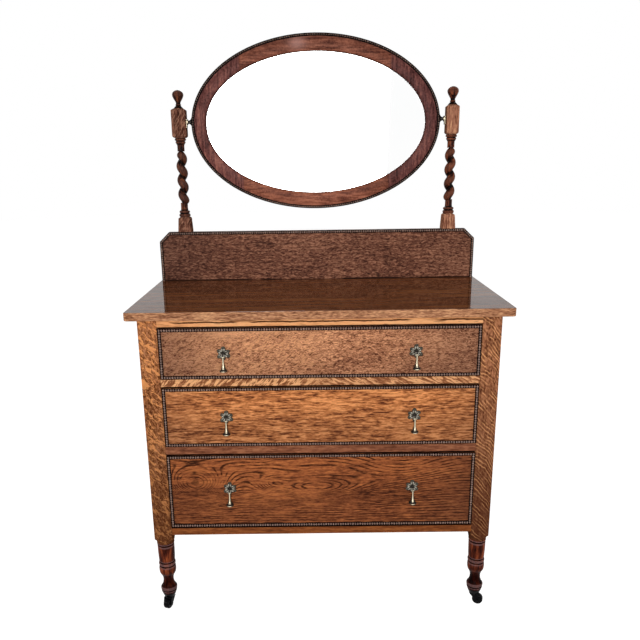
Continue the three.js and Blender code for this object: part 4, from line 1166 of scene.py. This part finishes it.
class CHEST_OT_standards(ChestStep):
    """Makes the standards, one the mirror of the other: blocks, collars, a single twist and a ball finial"""

    bl_idname = "chest.standards"
    bl_label = "Standards"

    def execute(self, context):
        low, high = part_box("mirror_post_right")
        x, y = (low.x + high.x) / 2, (low.y + high.y) / 2
        half = (high.x - low.x) / 2
        foot = STANDARD_FOOT
        base_top = foot + BASE_HEIGHT
        twist_foot = base_top + LOWER_COLLAR_HEIGHT + LOWER_NECK_HEIGHT
        collar = twist_foot + TWIST_HEIGHT + UPPER_NECK_HEIGHT
        block = collar + UPPER_COLLAR_HEIGHT
        block_top = block + BLOCK_HEIGHT
        narrow = half * 0.88
        base = ((foot, half), (base_top - 0.003, narrow), (base_top, narrow - 0.003))
        head = ((block, half - 0.004), (block + 0.004, half), (block_top - 0.0045, half),
                (block_top, half - 0.0065))
        inset = 0.0004
        tail = boxed("tail", (x - half + inset, TAIL_FRONT, low.z),
                     (x + half - inset, high.y - inset, foot + 0.0005))
        standard = joined("standard", [
            squared("base", 0.0008, base, (x, y)),
            softened(tail, 0.001),
            squared("block", 0.0008, head, (x, y)),
            turned("finial", FINIAL, block_top, FINIAL_HEIGHT, half, self.sides, (x, y)),
            turned("lower collar", LOWER_COLLAR, base_top, LOWER_COLLAR_HEIGHT, half, self.sides, (x, y)),
            turned("upper collar", UPPER_COLLAR, collar, UPPER_COLLAR_HEIGHT, half, self.sides, (x, y)),
            rope(self.sizes, (x, y, twist_foot), TWIST_HEIGHT, self.sides),
        ])
        # Dark under the ball, and the collars darker except on their crests
        for note, vertex in zip(standard.data.attributes["depth"].data, standard.data.vertices):
            if block_top - 0.0001 < vertex.co.z < block_top + 0.0072:
                note.value = 0.85
            elif base_top < vertex.co.z < base_top + 0.022 or collar < vertex.co.z < block:
                note.value = max(note.value, 0.62) if note.value > -0.5 else note.value
        for side, hand in SIDES.items():
            piece = painted(copied(standard, f"standard_{side}", hand), f"standard_{side}", f"turning_{side}")
            for face in piece.data.polygons:
                height = face.center.z
                face.material_index = 0 if height < base_top or block < height < block_top else 1
            if side == "right":
                for vertex in piece.data.vertices:
                    if block - 0.0001 < vertex.co.z < block_top + 0.0001:
                        vertex.co.x = x + (vertex.co.x - x) * RIGHT_BLOCK_WIDTH
            dressed(piece, "chest", "oak_dark", f"mirror_post_{side}")
        discard(standard)
        self.brackets(y, JOINTS["mirror_tilt"].z)
        return {"FINISHED"}

    def brackets(self, y, z):
        """A small plate on the block's side, with a boss that the mirror's pin turns in, and a screw."""
        low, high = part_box("pivot_bracket_right")
        plate = softened(boxed("plate", (high.x - 0.002, low.y, low.z), high), 0.0007)
        boss = rod("boss", (low.x, y, z), (high.x - 0.001, y, z), 0.0075, 32)
        hole = rod("hole", (low.x - 0.01, y, z), (high.x + 0.01, y, z), 0.0049, 32)
        parts = [painted(cut(part, hole, "DIFFERENCE"), "brass") for part in (plate, boss)]
        discard(hole)
        screw = ball("screw", (high.x - 0.002, y, low.z + 0.0045), (0.0012, 0.0028, 0.0028))
        bracket = joined("bracket", [*parts, painted(screw, "steel")])
        on_both_sides(bracket, "bracket", "chest", "brass", "pivot_bracket_{}")


class CHEST_OT_mirror(ChestStep):
    """Makes the oval frame with its beads and pivots"""

    bl_idname = "chest.mirror"
    bl_label = "Oval mirror"

    def execute(self, context):
        sizes = self.sizes
        low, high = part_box("mirror_moulding")
        wide, tall = rim = ((high.x - low.x) / 2, (high.z - low.z) / 2)
        middle = (low.z + high.z) / 2
        frame_low, frame_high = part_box("mirror_frame")
        front, back = frame_low.y, frame_high.y
        rebate = back - 0.012

        def oval(name, outline):
            """A ring. Each point has the oval it is measured from, its distance outside and its depth."""
            stations = [((0, y, middle), (a + out, b + out)) for (a, b), out, y in outline]
            return stack(name, 160, stations, ring=True)

        piece = oval("oval_frame", (
            (rim, 0, back - 0.002), (rim, -0.002, back), (SIGHT, 0.007, back), (SIGHT, 0.007, rebate),
            (SIGHT, 0, rebate), (SIGHT, 0, front + 0.003), (SIGHT, 0.0009, front + 0.001),
            (SIGHT, 0.003, front - 0.0002), (SIGHT, 0.008, front - 0.0013), (SIGHT, 0.015, front - 0.002),
            (SIGHT, 0.022, front - 0.0019), (SIGHT, 0.029, front - 0.001), (rim, -0.0085, front),
            (rim, -0.002, front), (rim, -0.0006, front + 0.0006), (rim, 0, front + 0.002)))
        dressed(painted(piece, "mirror"), "mirror", "oak_dark", "mirror_frame")

        width, proud, edge = sizes.strip_width - 0.0005, sizes.strip_depth, 0.0008
        ground = proud * 0.45
        raised = front - ground
        band = oval("band", ((rim, 0, front), (rim, -width, front), (rim, -width, raised + edge),
                             (rim, edge - width, raised), (rim, -edge, raised), (rim, 0, raised + edge)))
        clear_selection()
        bpy.ops.curve.primitive_bezier_circle_add(radius=1, location=(0, 0, 0))
        path = active()
        path.scale = (wide - width / 2, tall - width / 2, 1)
        keep_place()
        path.data.resolution_u = 64
        length = path.data.splines[0].calc_length(resolution=64)
        count = round(length / sizes.bead_pitch)
        bead = row_of_beads((0, 0, 0), (0.42 * sizes.bead_width, 0.5 * sizes.bead_width, proud - ground),
                            count, (length / count, 0, 0))
        bead.modifiers.new("bend", "CURVE").object = path
        apply_modifiers(bead)
        ring = copied(bead, "ring", Matrix.Translation((0, raised, middle)) @ turn(90, "X"))
        discard(path, bead)
        beads = joined("beads_mirror", [painted(band, "bead_ground"), painted(ring, "bead_mirror")])
        dressed(beads, "mirror", "bead", "mirror_moulding")

        y, z = (front + back) / 2, JOINTS["mirror_tilt"].z
        place = Matrix.Translation((wide - 0.001, y, z)) @ turn(90, "Y") @ Matrix.Scale(0.5, 4, (0, 1, 0))
        flare = moved(turned("flare", PIN_FLARE, 0, 0.0085, 0.0168, 40), place)
        pin = softened(rod("pin", (wide - 0.008, y, z), (frame_high.x, y, z), 0.0045), 0.0006)
        pin = painted(joined("pin", [pin, recalculated(flare)]), "steel")
        on_both_sides(pin, "mirror_pin", "mirror", "oak_dark")
        return {"FINISHED"}


class CHEST_OT_castors(ChestStep):
    """Makes the castors: a horned fork and a turned wheel"""

    bl_idname = "chest.castors"
    bl_label = "Castors"

    def execute(self, context):
        radius, half = 0.01398, 0.0085
        wheel = painted(turned("wheel", WHEEL, -half, 2 * half, radius, 40), "castor")
        fork = painted(self.fork(), "castor")
        for corner in CORNERS:
            swivel, hub = JOINTS[f"castor_{corner}_swivel"], JOINTS[f"wheel_{corner}_roll"]
            heading = turn(math.degrees(math.atan2(hub.y - swivel.y, hub.x - swivel.x)), "Z")
            place = Matrix.Translation((swivel.x, swivel.y, 0)) @ heading
            dressed(copied(fork, f"castor_horn_{corner}", place), f"castor_{corner}", "castor_black",
                    f"castor_fork_{corner}")
            place = Matrix.Translation(hub) @ heading @ turn(90, "X")
            dressed(copied(wheel, f"castor_roller_{corner}", place), f"wheel_{corner}", "castor_black",
                    f"castor_wheel_{corner}")
        discard(fork, wheel)
        return {"FINISHED"}

    def fork(self):
        """Two slanting horns under a crown, with an eye at each end of the axle."""
        reach, height, apart, thick = 0.01, 0.014, 0.0105, 0.0014
        parts = [turned("crown", CROWN, 0.0286, 0.0032, 0.0126, 40),
                 rod("pin", (0, 0, 0.028), (0, 0, 0.0336), 0.003, 16),
                 rod("axle", (reach, -0.0115, height), (reach, 0.0115, height), 0.0025, 16)]
        for s in (-1, 1):
            clear_selection()
            bpy.ops.mesh.primitive_cylinder_add(vertices=28, radius=0.0055, depth=2 * thick,
                                                location=(reach, s * apart, height),
                                                rotation=(math.pi / 2, 0, 0))
            eye = finished("eye")
            horn = boxed("horn", (-0.0095, s * apart - thick, 0.0205), (0.0107, s * apart + thick, 0.0305))
            for vertex in horn.data.vertices:
                if vertex.co.z < 0.025:
                    vertex.co.x = 0.0155 if vertex.co.x > 0 else 0.0048
                    vertex.co.z = 0.0145
            rivet = ball("rivet", (reach, s * 0.0117, height), (0.0026, 0.0014, 0.0026))
            parts += [softened(eye, 0.0006), softened(horn, 0.0006), rivet]
        return joined("fork", parts)


class CHEST_OT_studio(ChestStep):
    """Sets the floor, the light and the camera"""

    bl_idname = "chest.studio"
    bl_label = "Studio"

    def execute(self, context):
        studio = context.scene.chest_studio
        scene = context.scene
        clear_selection()
        bpy.ops.mesh.primitive_circle_add(vertices=96, radius=14, fill_type="NGON", location=(0, 0, 0))
        floor = active()
        floor.name = "floor"
        floor.data.materials.append(self.floor_paint())
        for name, power, size, place, aim in (
            ("key", studio.key, 1.5, (-0.1, -3.8, 1.45), (0, 0, 0.7)),
            ("accent", studio.accent, 0.7, (-0.45, -2.4, 3.2), (0, 0, 1.2)),
            ("left", studio.side, 1.2, (-2.9, -1.6, 1.3), (-0.2, -0.1, 0.7)),
            ("right", studio.side, 1.2, (2.9, -1.6, 1.3), (0.2, -0.1, 0.7)),
            ("rear", studio.rear, 1.5, (0, 3.4, 2.6), (0, 0, 0.8)),
        ):
            bpy.ops.object.light_add(type="AREA", location=place)
            lamp = active()
            lamp.name = name
            lamp.data.energy = power
            lamp.data.size = size
            lamp.rotation_euler = (Vector(aim) - Vector(place)).to_track_quat("-Z", "Y").to_euler()
        self.sky(scene, studio.sky)
        scene.camera = self.camera(studio.lens)
        scene.view_settings.view_transform = "Standard"
        return {"FINISHED"}

    def camera(self, lens):
        """Stands where the photographer stood, with the picture's middle off the lens's axis."""
        bpy.ops.object.camera_add()
        camera = active()
        camera.name = "camera"
        camera.data.sensor_width = 36
        camera.data.lens = lens
        camera.data.shift_x = 12.44 / 640
        camera.data.shift_y = 37.01 / 640
        camera.data.clip_end = 60
        place, left, down, roll = (-0.02268, -1.80109, 1.15463), 0.24, 16.03, -0.79
        aimed = Matrix.Translation(place) @ turn(left, "Z") @ turn(90 - down, "X")
        camera.matrix_world = aimed @ turn(roll, "Z")
        return camera

    def seen(self, s):
        """1 for what the camera sees, also in a reflection or through glass, 0 for what only gets light."""
        path = s.tree.nodes.new("ShaderNodeLightPath")
        camera, glossy, through = (
            Field(s, path.outputs[f"Is {ray} Ray"]) for ray in ("Camera", "Glossy", "Transmission"))
        return camera.math("MAXIMUM", glossy).math("MAXIMUM", through)

    def floor_paint(self):
        """White to the camera, with the object's shadow on it."""
        s = Shade("studio floor")
        return s.set(Base_Color=(0.5, 0.5, 0.5), Roughness=0.9, Specular_IOR_Level=0.0,
                     Emission_Color=(1, 1, 1), Emission_Strength=self.seen(s) * 0.93)

    def sky(self, scene, strength):
        """White to the camera, and a soft light on the object."""
        scene.world = bpy.data.worlds.new("studio")
        s = Shade(scene.world, "Background")
        level = s.node("ShaderNodeMapRange", None, {"Value": self.seen(s), "To Min": strength, "To Max": 1})
        s.set(Color=(1, 1, 1), Strength=level)


STEPS = (CHEST_OT_finishes, CHEST_OT_top, CHEST_OT_posts, CHEST_OT_beads, CHEST_OT_pulls, CHEST_OT_standards,
         CHEST_OT_mirror, CHEST_OT_castors, CHEST_OT_studio)


class CHEST_PT_panel(bpy.types.Panel):
    """Lists the steps in the sidebar."""

    bl_idname = "CHEST_PT_panel"
    bl_label = "Oak Dressing Chest"
    bl_space_type = "VIEW_3D"
    bl_region_type = "UI"
    bl_category = "Chest"

    def draw(self, context):
        for group in GROUPS:
            settings = getattr(context.scene, group)
            for key in settings.bl_rna.properties.keys():
                if key not in ("rna_type", "name"):
                    self.layout.prop(settings, key)
        for step in STEPS:
            self.layout.operator(step.bl_idname)


GROUPS = {"chest_colours": ChestColours, "chest_sizes": ChestSizes, "chest_studio": ChestStudio}


def register():
    for name, group in GROUPS.items():
        bpy.utils.register_class(group)
        setattr(bpy.types.Scene, name, bpy.props.PointerProperty(type=group))
    for made in (*STEPS, CHEST_PT_panel):
        bpy.utils.register_class(made)


def unregister():
    for made in reversed((*STEPS, CHEST_PT_panel)):
        bpy.utils.unregister_class(made)
    for name, group in GROUPS.items():
        delattr(bpy.types.Scene, name)
        bpy.utils.unregister_class(group)


def main():
    register()
    for step in STEPS:
        area, verb = step.bl_idname.split(".")
        getattr(getattr(bpy.ops, area), verb)()


if __name__ == "__main__":
    main()
